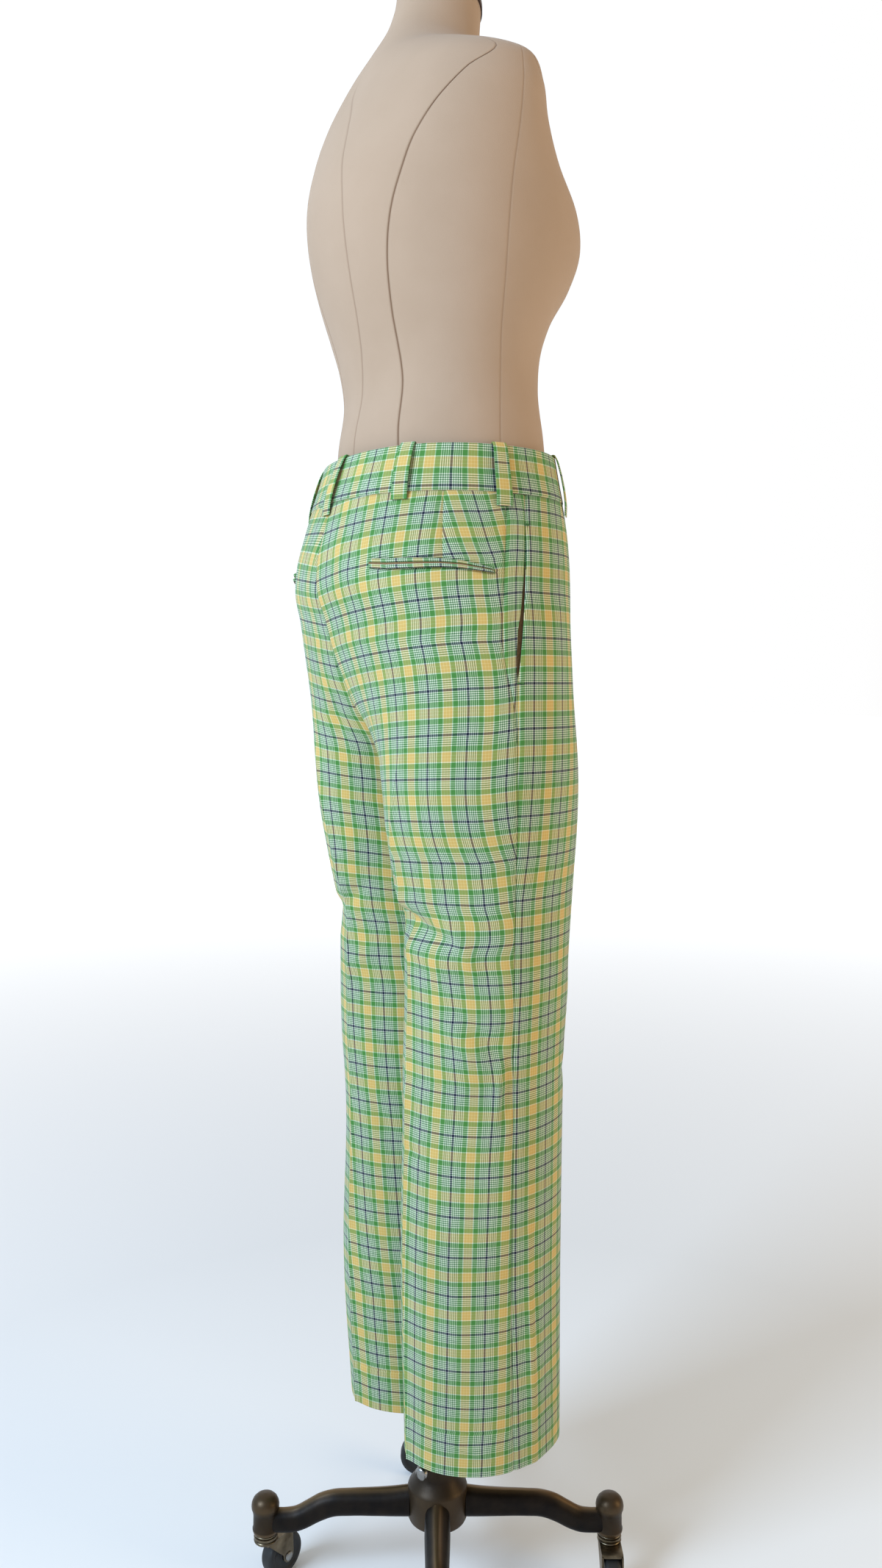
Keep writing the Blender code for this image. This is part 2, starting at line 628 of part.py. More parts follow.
def leg_rings(direction):
    """Eight-sided sections along a leg, from the hub to the middle of its post."""
    across = np.array([-direction[1], direction[0], 0.0])
    rings = []
    for distance, half_width, bottom, top in LEG_SECTION_ROWS:
        middle = (bottom + top) / 2.0
        half_height = (top - bottom) / 2.0
        angle = np.pi / 8.0 + np.pi / 4.0 * np.arange(8)
        wide = half_width * np.cos(angle) / np.cos(np.pi / 8.0)
        high = half_height * np.sin(angle) / np.cos(np.pi / 8.0)
        centre = np.array([direction[0] * distance, direction[1] * distance, middle])
        rings.append(centre + wide[:, None] * across + high[:, None] * np.array([0.0, 0.0, 1.0]))
    return np.array(rings)


def add_cylinder(name, start, end, radius, sides, paint_name, profile=None):
    """A round bar between two points, or one turned by (radius, distance) pairs from start."""
    start = np.array(start)
    axis = np.array(end) - start
    length = np.linalg.norm(axis)
    axis = axis / length
    helper = np.array([0.0, 0.0, 1.0]) if abs(axis[2]) < 0.9 else np.array([1.0, 0.0, 0.0])
    first = np.cross(helper, axis)
    first = first / np.linalg.norm(first)
    second = np.cross(axis, first)
    angle = 2.0 * np.pi * (np.arange(sides) + 0.5) / sides
    profile = profile or ((radius, 0.0), (radius, length))
    rings = [
        start + axis * distance
        + r * (np.cos(angle)[:, None] * first + np.sin(angle)[:, None] * second)
        for r, distance in profile
    ]
    return add_loft(name, np.array(rings), paint_name)


def add_box(name, centre, forward, half, paint_name):
    """A box whose first side runs along forward, its second across, its third up."""
    across = np.array([-forward[1], forward[0], 0.0])
    up = np.array([0.0, 0.0, 1.0])
    corners = []
    for height in (-1.0, 1.0):
        for along, wide in ((-1.0, -1.0), (1.0, -1.0), (1.0, 1.0), (-1.0, 1.0)):
            corner = forward * half[0] * along + across * half[1] * wide + up * half[2] * height
            corners.append(np.array(centre) + corner)
    return add_loft(name, np.array(corners).reshape(2, 4, 3), paint_name)


def flat(yaw):
    return np.array([math.cos(yaw), math.sin(yaw), 0.0])


def add_leg_and_caster(number, direction, trail):
    """One cast leg with its post, the fork that swivels under it, and the fork's wheel."""
    post = direction * POST_DISTANCE
    leg = add_loft(f"base_leg_{number}", leg_rings(direction), "dark_iron")
    post_tool = add_loft(f"post_{number}", turned_rings(POST_PROFILE, POST_SIDES, post[:2]), "dark_iron")
    union(leg, [post_tool])

    axle = post + trail * CASTER_TRAIL + np.array([0.0, 0.0, WHEEL_RADIUS])
    across = np.array([-trail[1], trail[0], 0.0])
    cheek_middle = WHEEL_HALF_WIDTH + CHEEK_GAP + CHEEK_WALL / 2.0
    half_span = WHEEL_HALF_WIDTH + CHEEK_GAP + CHEEK_WALL

    bearing = ((BEARING_RADIUS, CROWN_BOTTOM_Z), (BEARING_RADIUS, POST_BOTTOM_Z - CLOTH_GAP))
    fork = add_loft(f"caster_fork_{number}", turned_rings(bearing, POST_SIDES, post[:2]), "nickel")
    crown_centre = post + trail * CASTER_TRAIL / 2.0
    crown_centre[2] = (CROWN_BOTTOM_Z + CROWN_TOP_Z) / 2.0
    crown_half = (
        CASTER_TRAIL / 2.0 + CHEEK_HALF_LENGTH - 0.001,
        half_span - 0.0003,
        (CROWN_TOP_Z - CROWN_BOTTOM_Z) / 2.0,
    )
    tools = [add_box(f"crown_{number}", crown_centre, trail, crown_half, "nickel")]
    cheek_bottom = WHEEL_RADIUS - CHEEK_DROP
    cheek_top = CROWN_TOP_Z - 0.001
    for side in (-1, 1):
        centre = axle + across * side * cheek_middle
        centre[2] = (cheek_bottom + cheek_top) / 2.0
        half = (CHEEK_HALF_LENGTH, CHEEK_WALL / 2.0, (cheek_top - cheek_bottom) / 2.0)
        tools.append(add_box(f"cheek_{number}_{side}", centre, trail, half, "nickel"))
    pin_reach = across * (half_span + PIN_END)
    tools.append(
        add_cylinder(f"pin_{number}", axle - pin_reach, axle + pin_reach, AXLE_RADIUS, 8, "nickel")
    )
    union(fork, tools)
    add_wheel(f"caster_wheel_{number}", axle, across)


def add_wheel(name, axle, across):
    """A tread of flats with a bore for the pin. One flat of the tread is on the floor."""
    corner = WHEEL_RADIUS / math.cos(math.pi / WHEEL_SIDES)
    up = np.array([0.0, 0.0, 1.0])
    forward = np.cross(across, up)
    angle = 2.0 * np.pi * (np.arange(WHEEL_SIDES) + 0.5) / WHEEL_SIDES
    spoke = np.cos(angle)[:, None] * forward + np.sin(angle)[:, None] * up
    width = WHEEL_HALF_WIDTH
    edge = width - TREAD_ROUND
    rim = ((corner - TREAD_ROUND, -width), (corner, -edge), (corner, edge), (corner - TREAD_ROUND, width))
    bore = AXLE_RADIUS + AXLE_CLEARANCE
    outer = np.array([axle + across * place + radius * spoke for radius, place in rim])
    inner = np.array([axle + across * place + bore * spoke for _, place in rim])
    add_wall(name, outer, inner, "rubber", flip=True, closed=True)


def add_lock_screw():
    direction = flat(LOCK_SCREW_YAW)
    start = np.array([0.0, 0.0, LOCK_SCREW_Z])
    add_cylinder(
        "height_lock_screw", start, start + direction, 0.0, 14, "steel", LOCK_SCREW_PROFILE
    )


def main():
    for obj in list(bpy.data.objects):
        bpy.data.objects.remove(obj, do_unlink=True)
    add_panels()
    add_waistband()
    add_belt_loops()
    add_closure()
    add_pockets()
    add_form()
    add_pole()
    add_hub()
    add_lock_screw()
    for number, trail_yaw in enumerate(TRAIL_YAWS):
        direction = flat(BASE_YAW + number * math.pi / 2.0)
        add_leg_and_caster(number, direction, flat(math.radians(trail_yaw)))


main()
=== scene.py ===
"""Tailored plaid trousers on a dress form with a castered stand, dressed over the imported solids.

Metres, +Z up. The form faces -Y, so the wearer's right side is -X. The trousers are one shell round
the hips that parts into two legs at the crotch. The panels, welts, loops and facings are all read
from that shell, moved in or out along its normal. The plaid is laid out in repeats of the cloth,
kept on each piece as a UV map, so it follows the grain of each panel.
"""

import math

import bpy
import numpy as np
from mathutils import Matrix, Vector


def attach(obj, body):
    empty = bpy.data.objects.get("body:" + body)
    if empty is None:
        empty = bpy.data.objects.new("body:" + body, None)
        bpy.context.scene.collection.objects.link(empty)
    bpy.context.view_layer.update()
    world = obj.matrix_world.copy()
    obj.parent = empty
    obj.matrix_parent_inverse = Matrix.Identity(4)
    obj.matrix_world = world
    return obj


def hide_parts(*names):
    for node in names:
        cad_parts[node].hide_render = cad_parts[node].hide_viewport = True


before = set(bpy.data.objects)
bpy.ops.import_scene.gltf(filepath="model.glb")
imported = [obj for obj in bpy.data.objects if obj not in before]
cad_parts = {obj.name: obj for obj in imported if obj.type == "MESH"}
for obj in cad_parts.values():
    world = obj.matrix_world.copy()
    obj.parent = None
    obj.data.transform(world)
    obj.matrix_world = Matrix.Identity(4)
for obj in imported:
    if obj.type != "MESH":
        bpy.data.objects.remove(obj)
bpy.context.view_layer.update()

# Cloth
WALL = 0.0015
CLOTH_GAP = 0.0003
SEAM_SHARE = 0.0006

# Heights of the trousers
HEM_Z = 0.197
CROTCH_Z = 0.955
WAIST_SEAM_Z = 1.218
BAND_TOP_Z = 1.265
FRONT_RISE_TOP_Z = 1.06
BACK_RISE_TOP_Z = 1.13
LEG_SHAPE_TOP_Z = 1.10
LEG_SHAPE_FULL_Z = 0.84
HIP_FULLNESS = 0.045
LEG_FULLNESS = -0.030

# The pole's push on the legs
PUSH = 0.0185
PUSH_MIDDLE_Z = (1.17, 0.97)
PUSH_OUTER_Z = (1.00, 0.60)
PUSH_REACH = 0.12

BODY_COLUMNS = ("z", "half_width", "front", "back")
BODY_ROWS = (
    (1.270, 0.1375, 0.1075, 0.1080),
    (1.240, 0.1425, 0.1130, 0.1180),
    (1.215, 0.1490, 0.1165, 0.1265),
    (1.190, 0.1555, 0.1185, 0.1340),
    (1.160, 0.1630, 0.1180, 0.1415),
    (1.130, 0.1700, 0.1150, 0.1420),
    (1.100, 0.1750, 0.1120, 0.1335),
    (1.060, 0.1780, 0.1110, 0.1275),
    (1.000, 0.1780, 0.1085, 0.1220),
    (0.840, 0.1740, 0.1060, 0.1150),
)

LEG_COLUMNS = ("z", "front_crease", "front", "back_crease", "back", "outer", "inner")
LEG_ROWS = (
    (1.130, 0.0980, 0.1200, 0.0580, 0.1190, 0.1780, 0.0003),
    (0.955, 0.0980, 0.1170, 0.0610, 0.0970, 0.1720, 0.0003),
    (0.900, 0.0980, 0.1130, 0.0620, 0.0880, 0.1660, 0.0012),
    (0.850, 0.0975, 0.1110, 0.0625, 0.0780, 0.1600, 0.0016),
    (0.785, 0.0970, 0.1110, 0.0625, 0.0640, 0.1535, 0.0019),
    (0.600, 0.0970, 0.1095, 0.0620, 0.0615, 0.1465, 0.0020),
    (0.410, 0.0970, 0.1095, 0.0620, 0.0645, 0.1385, 0.0020),
    (0.197, 0.0970, 0.1105, 0.0620, 0.0605, 0.1375, 0.0020),
)

SIDE_COLUMNS = ("z", "side_y", "inseam_y")
SIDE_ROWS = (
    (1.270, 0.000, 0.005),
    (1.000, 0.000, 0.005),
    (0.700, -0.018, 0.000),
    (0.197, -0.028, -0.005),
)

# Where the side seam runs, and the front panel's edge along its pocket: shares of the way round
SEAM_COLUMNS = ("z", "seam", "opening")
SEAM_ROWS = (
    (1.270, 0.510, 0.450),
    (1.218, 0.520, 0.460),
    (1.194, 0.527, 0.470),
    (1.161, 0.538, 0.483),
    (1.125, 0.552, 0.500),
    (1.090, 0.565, 0.513),
    (1.070, 0.566, 0.519),
    (1.052, 0.559, 0.5235),
    (1.036, 0.549, 0.528),
    (1.013, 0.535, 0.5260),
    (0.990, 0.5275, 0.5240),
    (0.963, 0.522, 0.522),
    (0.908, 0.515, 0.515),
    (0.825, 0.510, 0.510),
    (0.604, 0.508, 0.508),
    (0.197, 0.503, 0.503),
)

# Folds pressed into the legs by their own weight: their depth is along the shell's normal
FOLD_COLUMNS = ("side", "q", "z", "depth", "q_width", "z_width", "slope")
FOLD_ROWS = (
    (-1, 0.770, 0.785, -0.0110, 0.080, 0.018, 0.10),
    (-1, 0.660, 0.755, 0.0045, 0.045, 0.020, 0.10),
    (-1, 0.600, 0.655, 0.0045, 0.050, 0.040, 0.25),
    (-1, 0.440, 0.300, 0.0040, 0.022, 0.110, 0.00),
    (-1, 0.250, 0.700, 0.0030, 0.050, 0.030, 0.15),
    (1, 0.710, 0.880, 0.0110, 0.130, 0.130, 0.00),
    (1, 0.690, 0.690, 0.0105, 0.120, 0.120, 0.00),
    (1, 0.700, 0.770, -0.0040, 0.060, 0.018, -0.10),
    (1, 0.670, 0.360, 0.0080, 0.100, 0.150, 0.00),
    (1, 0.260, 0.720, 0.0030, 0.050, 0.030, -0.15),
)

# Waistband, loops and closure
BAND_WALL = 0.0026
BAND_PROUD = 0.0008
BAND_SEAM_GAP = 0.0004
BAND_OPENING = 0.004
LOOP_WIDTH = 0.016
LOOP_WALL = 0.0013
LOOP_STAND_OFF = 0.0032
LOOP_TOP_Z = 1.267
LOOP_NAMES = ("front", "side", "back")
LOOP_Q = (0.26, 0.530, 0.772)
LOOP_LEVEL = 1.243
TAB_HALF_ANGLE = 0.11
TAB_INNER = 0.0012
TAB_OUTER = 0.0030
BUTTON_WALL = 0.0028
BUTTON_Z = 1.242
BUTTON_SIDES = 48
BUTTON_SHOWN = (
    (0.0002, 0.0), (0.0050, 0.0), (0.0078, 0.0006), (0.0085, 0.0014), (0.0083, 0.0023),
    (0.0073, 0.0028), (0.0066, 0.0025), (0.0058, 0.0020), (0.0030, 0.0017), (0.0002, 0.0017),
)
FLY_WIDTH = 0.040
FLY_BOTTOM_Z = 1.075
FLY_CURVE = 0.045
FLY_HIP_RADIUS = 0.15
FLY_START_Q = 0.002
FLY_FOOT_SHARE = 0.1

# Pockets
SIDE_POCKET_Z = (1.036, 1.189)
LINING_UNDER_FRONT_Q = 0.014

# Dress form
FORM_FULLNESS = 0.03
FORM_COLUMNS = ("z", "half_width", "front", "back", "centre_y", "lean")
FORM_ROWS = (
    (1.0400, 0.1400, 0.0780, 0.0880, 0.000, 0.00),
    (1.0470, 0.1560, 0.0910, 0.1020, 0.000, 0.00),
    (1.0700, 0.1660, 0.0970, 0.1110, 0.000, 0.00),
    (1.1300, 0.1640, 0.0990, 0.1200, 0.000, 0.00),
    (1.1900, 0.1500, 0.1010, 0.1140, 0.000, 0.00),
    (1.2250, 0.1428, 0.1000, 0.1040, 0.000, 0.00),
    (1.2400, 0.1400, 0.0990, 0.0990, 0.000, 0.00),
    (1.2620, 0.1345, 0.0985, 0.0965, 0.000, 0.00),
    (1.2850, 0.1300, 0.0980, 0.0955, 0.000, 0.00),
    (1.3350, 0.1255, 0.0915, 0.0885, 0.000, 0.00),
    (1.3700, 0.1310, 0.0920, 0.0930, 0.000, 0.00),
    (1.4000, 0.1405, 0.1010, 0.1010, 0.000, 0.00),
    (1.4400, 0.1525, 0.1255, 0.1130, 0.000, 0.00),
    (1.4750, 0.1600, 0.1370, 0.1215, 0.000, 0.00),
    (1.5050, 0.1630, 0.1290, 0.1260, 0.000, 0.00),
    (1.5400, 0.1660, 0.0960, 0.1250, 0.000, 0.00),
    (1.5750, 0.1685, 0.0720, 0.1160, 0.000, 0.00),
    (1.6050, 0.1670, 0.0640, 0.1050, 0.000, 0.00),
    (1.6300, 0.1540, 0.0570, 0.0930, 0.000, 0.02),
    (1.6480, 0.1170, 0.0500, 0.0840, -0.001, 0.06),
    (1.6620, 0.0760, 0.0430, 0.0720, -0.001, 0.15),
    (1.6780, 0.0560, 0.0385, 0.0590, -0.002, 0.28),
    (1.7050, 0.0470, 0.0375, 0.0470, -0.003, 0.42),
    (1.7400, 0.0450, 0.0390, 0.0420, -0.004, 0.50),
)
NECK_CAP_WALL = 0.008
NECK_CAP_OVERHANG = 0.0015
NECK_CAP_ROUND = 0.002

# Stand: the base is turned so that its legs run between the form's front and side
BASE_YAW = math.radians(150.0)
POLE_RADIUS = 0.0115
POLE_BOTTOM_Z = 0.090
FLANGE_RADIUS = 0.032
FLANGE_WALL = 0.006
POST_DISTANCE = 0.1976
LOCK_SCREW_Z = 0.152
LOCK_SCREW_YAW = math.radians(118.0)

# Casters: the yaws are where each wheel trails, in the order of the legs
CASTER_TRAIL = 0.024
TRAIL_YAWS = (240.0, 150.0, 60.0, 290.0)
WHEEL_RADIUS = 0.025
WHEEL_HALF_WIDTH = 0.009
AXLE_RADIUS = 0.0030
CHEEK_GAP = 0.0010
CHEEK_WALL = 0.0025
CHEEK_HALF_LENGTH = 0.0080
CROWN_BOTTOM_Z = 0.0525

# Fine form of the cloth
FRONT_CREASE_Q = 0.25
SIDE_Q = 0.50
BACK_CREASE_Q = 0.75
PANEL_ROWS = 236
PANEL_COLUMNS = 96
COLUMN_PULL = 0.75
LEG_ROUND = 0.50
SHELL_WALL = 0.0013
PRESS_HEIGHT = 0.0038
PRESS_WIDTH = 0.0055
PRESS_Z = (1.02, 0.90)
CREASE_END_SHARE = 0.35
SEAM_ROLL = 0.0011
SEAM_ROLL_WIDTH = 0.0024
HEM_STITCH_Z = 0.246
HEM_STITCH_DEPTH = 0.0006
HEM_STITCH_WIDTH = 0.0016
HEM_ROWS_UP = (0.0005, 0.0012, 0.0022)
HEM_STITCH_ROWS = (-0.0030, -0.0015, 0.0, 0.0015, 0.0030)
POCKET_END_REACH = 0.006
WELT_ROWS_Z = (1.1360, 1.1570)
DART_Q = 0.675
DART_COLUMN = 30
DART_TOP_WIDTH = 0.0355
DART_Z = (1.142, 1.218)
DART_DEPTH = 0.0012
DART_LINE = 0.0018
DART_STEPS = (-0.0110, -0.0055, 0.0, 0.0055, 0.0110)
DART_FADE = 0.02

# Ridges and troughs between two places on a leg, each (height, share of the way round)
CREASE_COLUMNS = ("side", "z_start", "q_start", "z_end", "q_end", "depth", "width")
CREASE_ROWS = (
    (-1, 0.806, 0.811, 0.785, 0.726, -0.0060, 0.0085),
    (-1, 0.785, 0.726, 0.770, 0.632, -0.0050, 0.0080),
    (-1, 0.822, 0.790, 0.803, 0.716, 0.0035, 0.0090),
    (-1, 0.768, 0.770, 0.752, 0.690, 0.0030, 0.0100),
    (-1, 0.796, 0.646, 0.739, 0.588, 0.0042, 0.0075),
    (-1, 0.704, 0.646, 0.654, 0.524, -0.0048, 0.0080),
    (-1, 0.690, 0.655, 0.642, 0.556, 0.0030, 0.0100),
    (-1, 0.654, 0.536, 0.583, 0.545, 0.0036, 0.0060),
    (-1, 0.654, 0.518, 0.583, 0.527, -0.0026, 0.0055),
    (-1, 0.543, 0.755, 0.543, 0.703, -0.0016, 0.0050),
    (-1, 0.455, 0.465, 0.200, 0.450, 0.0024, 0.0060),
    (-1, 0.455, 0.450, 0.200, 0.435, -0.0020, 0.0060),
    (-1, 0.237, 0.640, 0.214, 0.541, 0.0016, 0.0035),
    (-1, 0.470, 0.640, 0.330, 0.610, 0.0018, 0.0120),
    (-1, 0.930, 0.900, 0.880, 0.800, -0.0020, 0.0100),
    (-1, 0.905, 0.840, 0.860, 0.720, 0.0016, 0.0110),
    (-1, 0.640, 0.230, 0.610, 0.330, -0.0030, 0.0090),
    (-1, 0.700, 0.180, 0.665, 0.270, 0.0030, 0.0110),
    (-1, 0.760, 0.090, 0.710, 0.180, -0.0028, 0.0100),
    (1, 0.810, 0.820, 0.790, 0.735, -0.0040, 0.0085),
    (1, 0.790, 0.735, 0.778, 0.650, -0.0036, 0.0085),
    (1, 0.742, 0.840, 0.715, 0.740, 0.0026, 0.0110),
    (1, 0.660, 0.630, 0.620, 0.530, -0.0032, 0.0090),
    (1, 0.640, 0.240, 0.612, 0.340, -0.0030, 0.0090),
    (1, 0.705, 0.170, 0.672, 0.260, 0.0030, 0.0110),
    (1, 0.480, 0.450, 0.215, 0.438, 0.0022, 0.0070),
    (1, 0.560, 0.820, 0.520, 0.900, -0.0022, 0.0100),
    (-1, 1.185, 0.930, 1.120, 0.860, 0.0014, 0.0100),
    (-1, 1.020, 0.950, 0.960, 0.860, -0.0022, 0.0100),
    (1, 1.020, 0.950, 0.960, 0.860, -0.0022, 0.0100),
    (1, 1.020, 0.050, 0.950, 0.150, -0.0022, 0.0100),
    (-1, 1.020, 0.050, 0.950, 0.150, -0.0022, 0.0100),
)

# The plaid: stripes of one repeat, from the middle of a navy line, with their widths in millimetres
FINE_STRIPES = (("cream", 0.95), ("fern", 1.07)) * 4 + (("cream", 0.95),)
HALF_REPEAT = (("navy", 1.1), *FINE_STRIPES, ("green", 4.6), ("cream", 1.0))
GOLD_STRIPES = (("gold", 2.5), ("straw", 0.6), ("gold", 2.4), ("straw", 0.6), ("gold", 2.5))
PLAID_REPEAT = (*HALF_REPEAT, *GOLD_STRIPES, *HALF_REPEAT[::-1])
PLAID_COLOURS = {
    "navy": (20, 27, 54),
    "cream": (246, 253, 226),
    "fern": (60, 116, 62),
    "green": (80, 148, 66),
    "gold": (234, 194, 108),
    "straw": (246, 220, 146),
}

# Heights of the navy weft lines on each side, each with its count of repeats down from the waist
WEFT_ROWS = {
    -1: (
        (1.2830, -2.0), (1.1980, 0.0), (1.1173, 2.0), (1.0304, 4.0), (0.9436, 6.0),
        (0.8582, 8.0), (0.7714, 10.0), (0.6906, 12.0), (0.6145, 14.0), (0.5261, 16.0),
        (0.4393, 18.0), (0.3555, 20.0), (0.2732, 22.0), (0.2336, 23.0), (0.1511, 25.0),
    ),
    1: ((1.2845, -5.0), (1.0720, 0.0), (0.1370, 22.0)),
}

# Where a navy warp line runs on each panel: a height, and how far the line is there from the back
# crease, or on the front panels from the place where q is 0.5
BACK_WARP_REPEAT = 0.0396
BACK_WARP_ROWS = {
    -1: (
        (1.2150, -0.0172), (1.1570, -0.0130), (1.1400, -0.0095), (1.0760, -0.0035),
        (0.9800, -0.0300), (0.8560, -0.0670), (0.7310, -0.0590), (0.6240, -0.0660),
        (0.5430, -0.0608), (0.3980, -0.0581), (0.2780, -0.0538), (0.1970, -0.0500),
    ),
    1: (
        (1.2150, 0.1030), (1.0810, 0.0820), (1.0020, 0.0370), (0.9100, 0.0145),
        (0.8350, 0.0020), (0.7920, -0.0040), (0.6940, 0.0060), (0.5750, 0.0110),
        (0.4890, 0.0180), (0.3360, 0.0320), (0.2310, 0.0355), (0.1970, 0.0360),
    ),
}
FRONT_WARP_REPEAT = 0.0425
FRONT_WARP_ROWS = (
    (1.2150, -0.0040), (1.1040, -0.0063), (0.8650, -0.0063), (0.8180, -0.0023),
    (0.7280, -0.0033), (0.6200, 0.0000), (0.5380, 0.0005), (0.3930, -0.0010),
    (0.2720, -0.0043), (0.1970, -0.0050),
)

# The weft lines sink by these heights toward the back and the front, above the knee alone
BACK_TILT = 0.0046
BACK_TILT_Q = 0.6
BACK_TILT_SPAN = 0.15
BACK_TILT_POWER = 1.5
YOKE_EASE = 0.4
YOKE_EASE_Z = (1.15, 1.19)
FRONT_TILT = 0.0046
FRONT_TILT_Q = (0.60, 0.50)
TILT_Z = (0.72, 0.85)

# How much light falls on the object, where 1 shows a surface as bright as it is
LIGHT_ON_SURFACES = 1.55

# The twill's wales, how much of the upper thread a crossing shows, and the cloth's faint patches
WALES_PER_REPEAT = 52.0
ON_TOP_SHARE = 0.45
CLOTH_PATCH_SCALE = 9.0
CLOTH_PATCH_RANGE = (0.90, 1.08)
SPECKLE_SPREAD = (-0.2, 1.2)

# The band's plaid: distances round it from the right back crease, each with its count of repeats
BAND_TURNS = 360
BAND_WARP_ROWS = (
    (-1.6382, -40.0), (-0.1182, -3.0), (-0.0785, -2.0), (-0.0372, -1.0), (0.0488, 1.0), (1.6688, 41.0),
)
BAND_WARP_REPEAT = 0.0405
BAND_WEFT_Z = 1.2227
BAND_WEFT_REPEAT = 0.0465
TAB_RADIUS = 0.135
TAB_PHASE = 0.5

# Belt loops: a section's (across, through) points, and the plaid on each loop
LOOP_SECTION = (
    (-1.00, 0.0), (-0.96, 0.7), (-0.86, 1.0), (-0.45, 1.0), (0.0, 1.0), (0.45, 1.0), (0.86, 1.0),
    (0.96, 0.7), (1.00, 0.0), (0.96, -0.7), (0.86, -1.0), (0.0, -1.0), (-0.86, -1.0), (-0.96, -0.7),
)
LOOP_ARC_SINK = 0.0005
LOOP_ARC_RISE = 0.0012
LOOP_TAIL = 0.014
LOOP_EASE = 0.001
LOOP_ARCH_REACH = 1.06
LOOP_ARCH_POWER = 0.6
LOOP_MEASURED_Q = 0.99
LOOP_CENTRE = 0.5
LOOP_HALF_REPEAT = 0.20
LOOP_BOTTOMS = {"front": 1.204, "side": 1.203, "back": 1.209, "centre_back": 1.204}
LOOP_PHASES = {"front": 0.10, "side": 0.10, "back": 0.62, "centre_back": 0.25}
WEFT_REPEAT = 0.0425

# Side pockets: the front's edge gapes over the facing, which starts at its own distance in q from the
# opening at each height, and a navy line runs down the facing at its own q
GAPE_LIFT = 0.0022
GAPE_SPAN = 0.022
FACING_END_Z = 0.960
FACING_LEVEL = -0.0002
FACING_UNDER_FRONT = 0.0014
FACING_IN_MOUTH = 0.0009
FACING_THICKNESS = 0.0010
FACING_EDGE_Q = 0.008
FACING_MOUTH_SHARE = 0.9
FACING_SEAM_GAP_Q = 0.0003
FACING_START_ROWS = (
    (1.218, -0.010), (1.162, -0.010), (1.150, 0.0), (1.130, 0.003), (1.105, 0.0066), (1.085, 0.012),
    (1.060, 0.010), (1.045, 0.005), (1.036, -0.004), (0.960, -0.006),
)
FACING_NAVY_ROWS = (
    (1.191, 0.497), (1.161, 0.5085), (1.1375, 0.519), (1.093, 0.532), (1.077, 0.5325), (1.036, 0.5325),
)
LINING_OFFSETS = (-0.0048, -0.0037)
LINING_PAST_SEAM_Q = 0.004

# Back pockets: two rolled lips round a sunk mouth, with its middle and half height at each q
WELT_Q = (0.572, 0.8265)
WELT_STRIPE = 0.136
WELT_SPREAD = 0.125
WELT_SINK = 0.0021
WELT_SINK_WIDTH = 0.0011
LIP_RISE = 0.0023
LIP_CENTRE = 0.57
LIP_HALF = 0.42
LIP_BASE = 0.0003
LIP_END_SHARE = 0.25
LIP_END_SPAN = 0.02
MOUTH_HALF = 0.17
MOUTH_OFFSETS = (0.0002, 0.0008)
WELT_MIDDLE_ROWS = (
    (0.572, 1.1412), (0.580, 1.1419), (0.602, 1.1436), (0.641, 1.1466), (0.684, 1.1480),
    (0.733, 1.1482), (0.787, 1.1484), (0.8265, 1.1500),
)
WELT_HALF_ROWS = (
    (0.572, 0.0016), (0.576, 0.0023), (0.590, 0.0028), (0.602, 0.0031), (0.641, 0.0038), (0.684, 0.0042),
    (0.733, 0.0050), (0.787, 0.0050), (0.8265, 0.0044),
)

# Sewing: a stitch's rings of points, and the bar tacks of the side pockets and the welts
THREAD_RADIUS = 0.00032
PICK_RADIUS = 0.00022
HEM_PICKS = 58
HEM_PICK_SPAN = (0.03, 0.97)
HEM_PICK_SHARE = 0.16
FLY_STITCHES = 52
FLY_STITCH_SHARE = 0.72
FLY_ROW_IN = 0.005
STITCH_COLUMNS = ("along", "thickness", "sink")
STITCH_RINGS = (
    (0.00, 0.35, -0.0003),
    (0.14, 0.90, 0.0),
    (0.50, 1.00, 0.0001),
    (0.86, 0.90, 0.0),
    (1.00, 0.35, -0.0003),
)
STITCH_SIDES = 6
TACK_COLUMNS = ("z", "q", "half_z", "half_q", "turns")
SIDE_POCKET_TACKS = (
    (SIDE_POCKET_Z[1] - 0.001, 0.4700, 0.0012, 0.0070, 12),
    (SIDE_POCKET_Z[0] - 0.001, 0.5220, 0.0010, 0.0080, 14),
)
WELT_TACKS = (
    (1.1500, WELT_Q[1] + 0.0012, 0.0044, 0.0014, 10),
    (1.1412, WELT_Q[0] - 0.0012, 0.0026, 0.0014, 7),
)
SIDE_TACK_LIFT = 0.000264
LOOP_TACK_UP = 0.0035
LOOP_TACK_HALF_Z = 0.0008
LOOP_TACK_SHARE = 0.80
LOOP_TACK_TURNS = 16


def column(rows, columns, name, z):
    """The named column at each height z: a smooth curve through the rows, by cubic Hermite pieces."""
    table = np.array(sorted(rows))
    heights = table[:, 0]
    values = table[:, columns.index(name)]
    slopes = np.gradient(values, heights)
    z = np.clip(z, heights[0], heights[-1])
    i = np.clip(np.searchsorted(heights, z) - 1, 0, len(heights) - 2)
    step = heights[i + 1] - heights[i]
    t = (z - heights[i]) / step
    ease = t * t * (3.0 - 2.0 * t)
    start = slopes[i] * step * t * (1.0 - t) ** 2
    end = slopes[i + 1] * step * t * t * (1.0 - t)
    return values[i] + (values[i + 1] - values[i]) * ease + start - end


def bell(distance, width):
    """1 where the distance is 0, falling off evenly on both sides over a width."""
    return np.exp(-((distance / width) ** 2))


def unit(vectors):
    """The same directions at a length of 1."""
    return vectors / np.linalg.norm(vectors, axis=-1, keepdims=True)


def running(steps):
    """Distances reached along a line, from 0, by the length of each of its steps."""
    return np.concatenate([[0.0], np.cumsum(steps)])


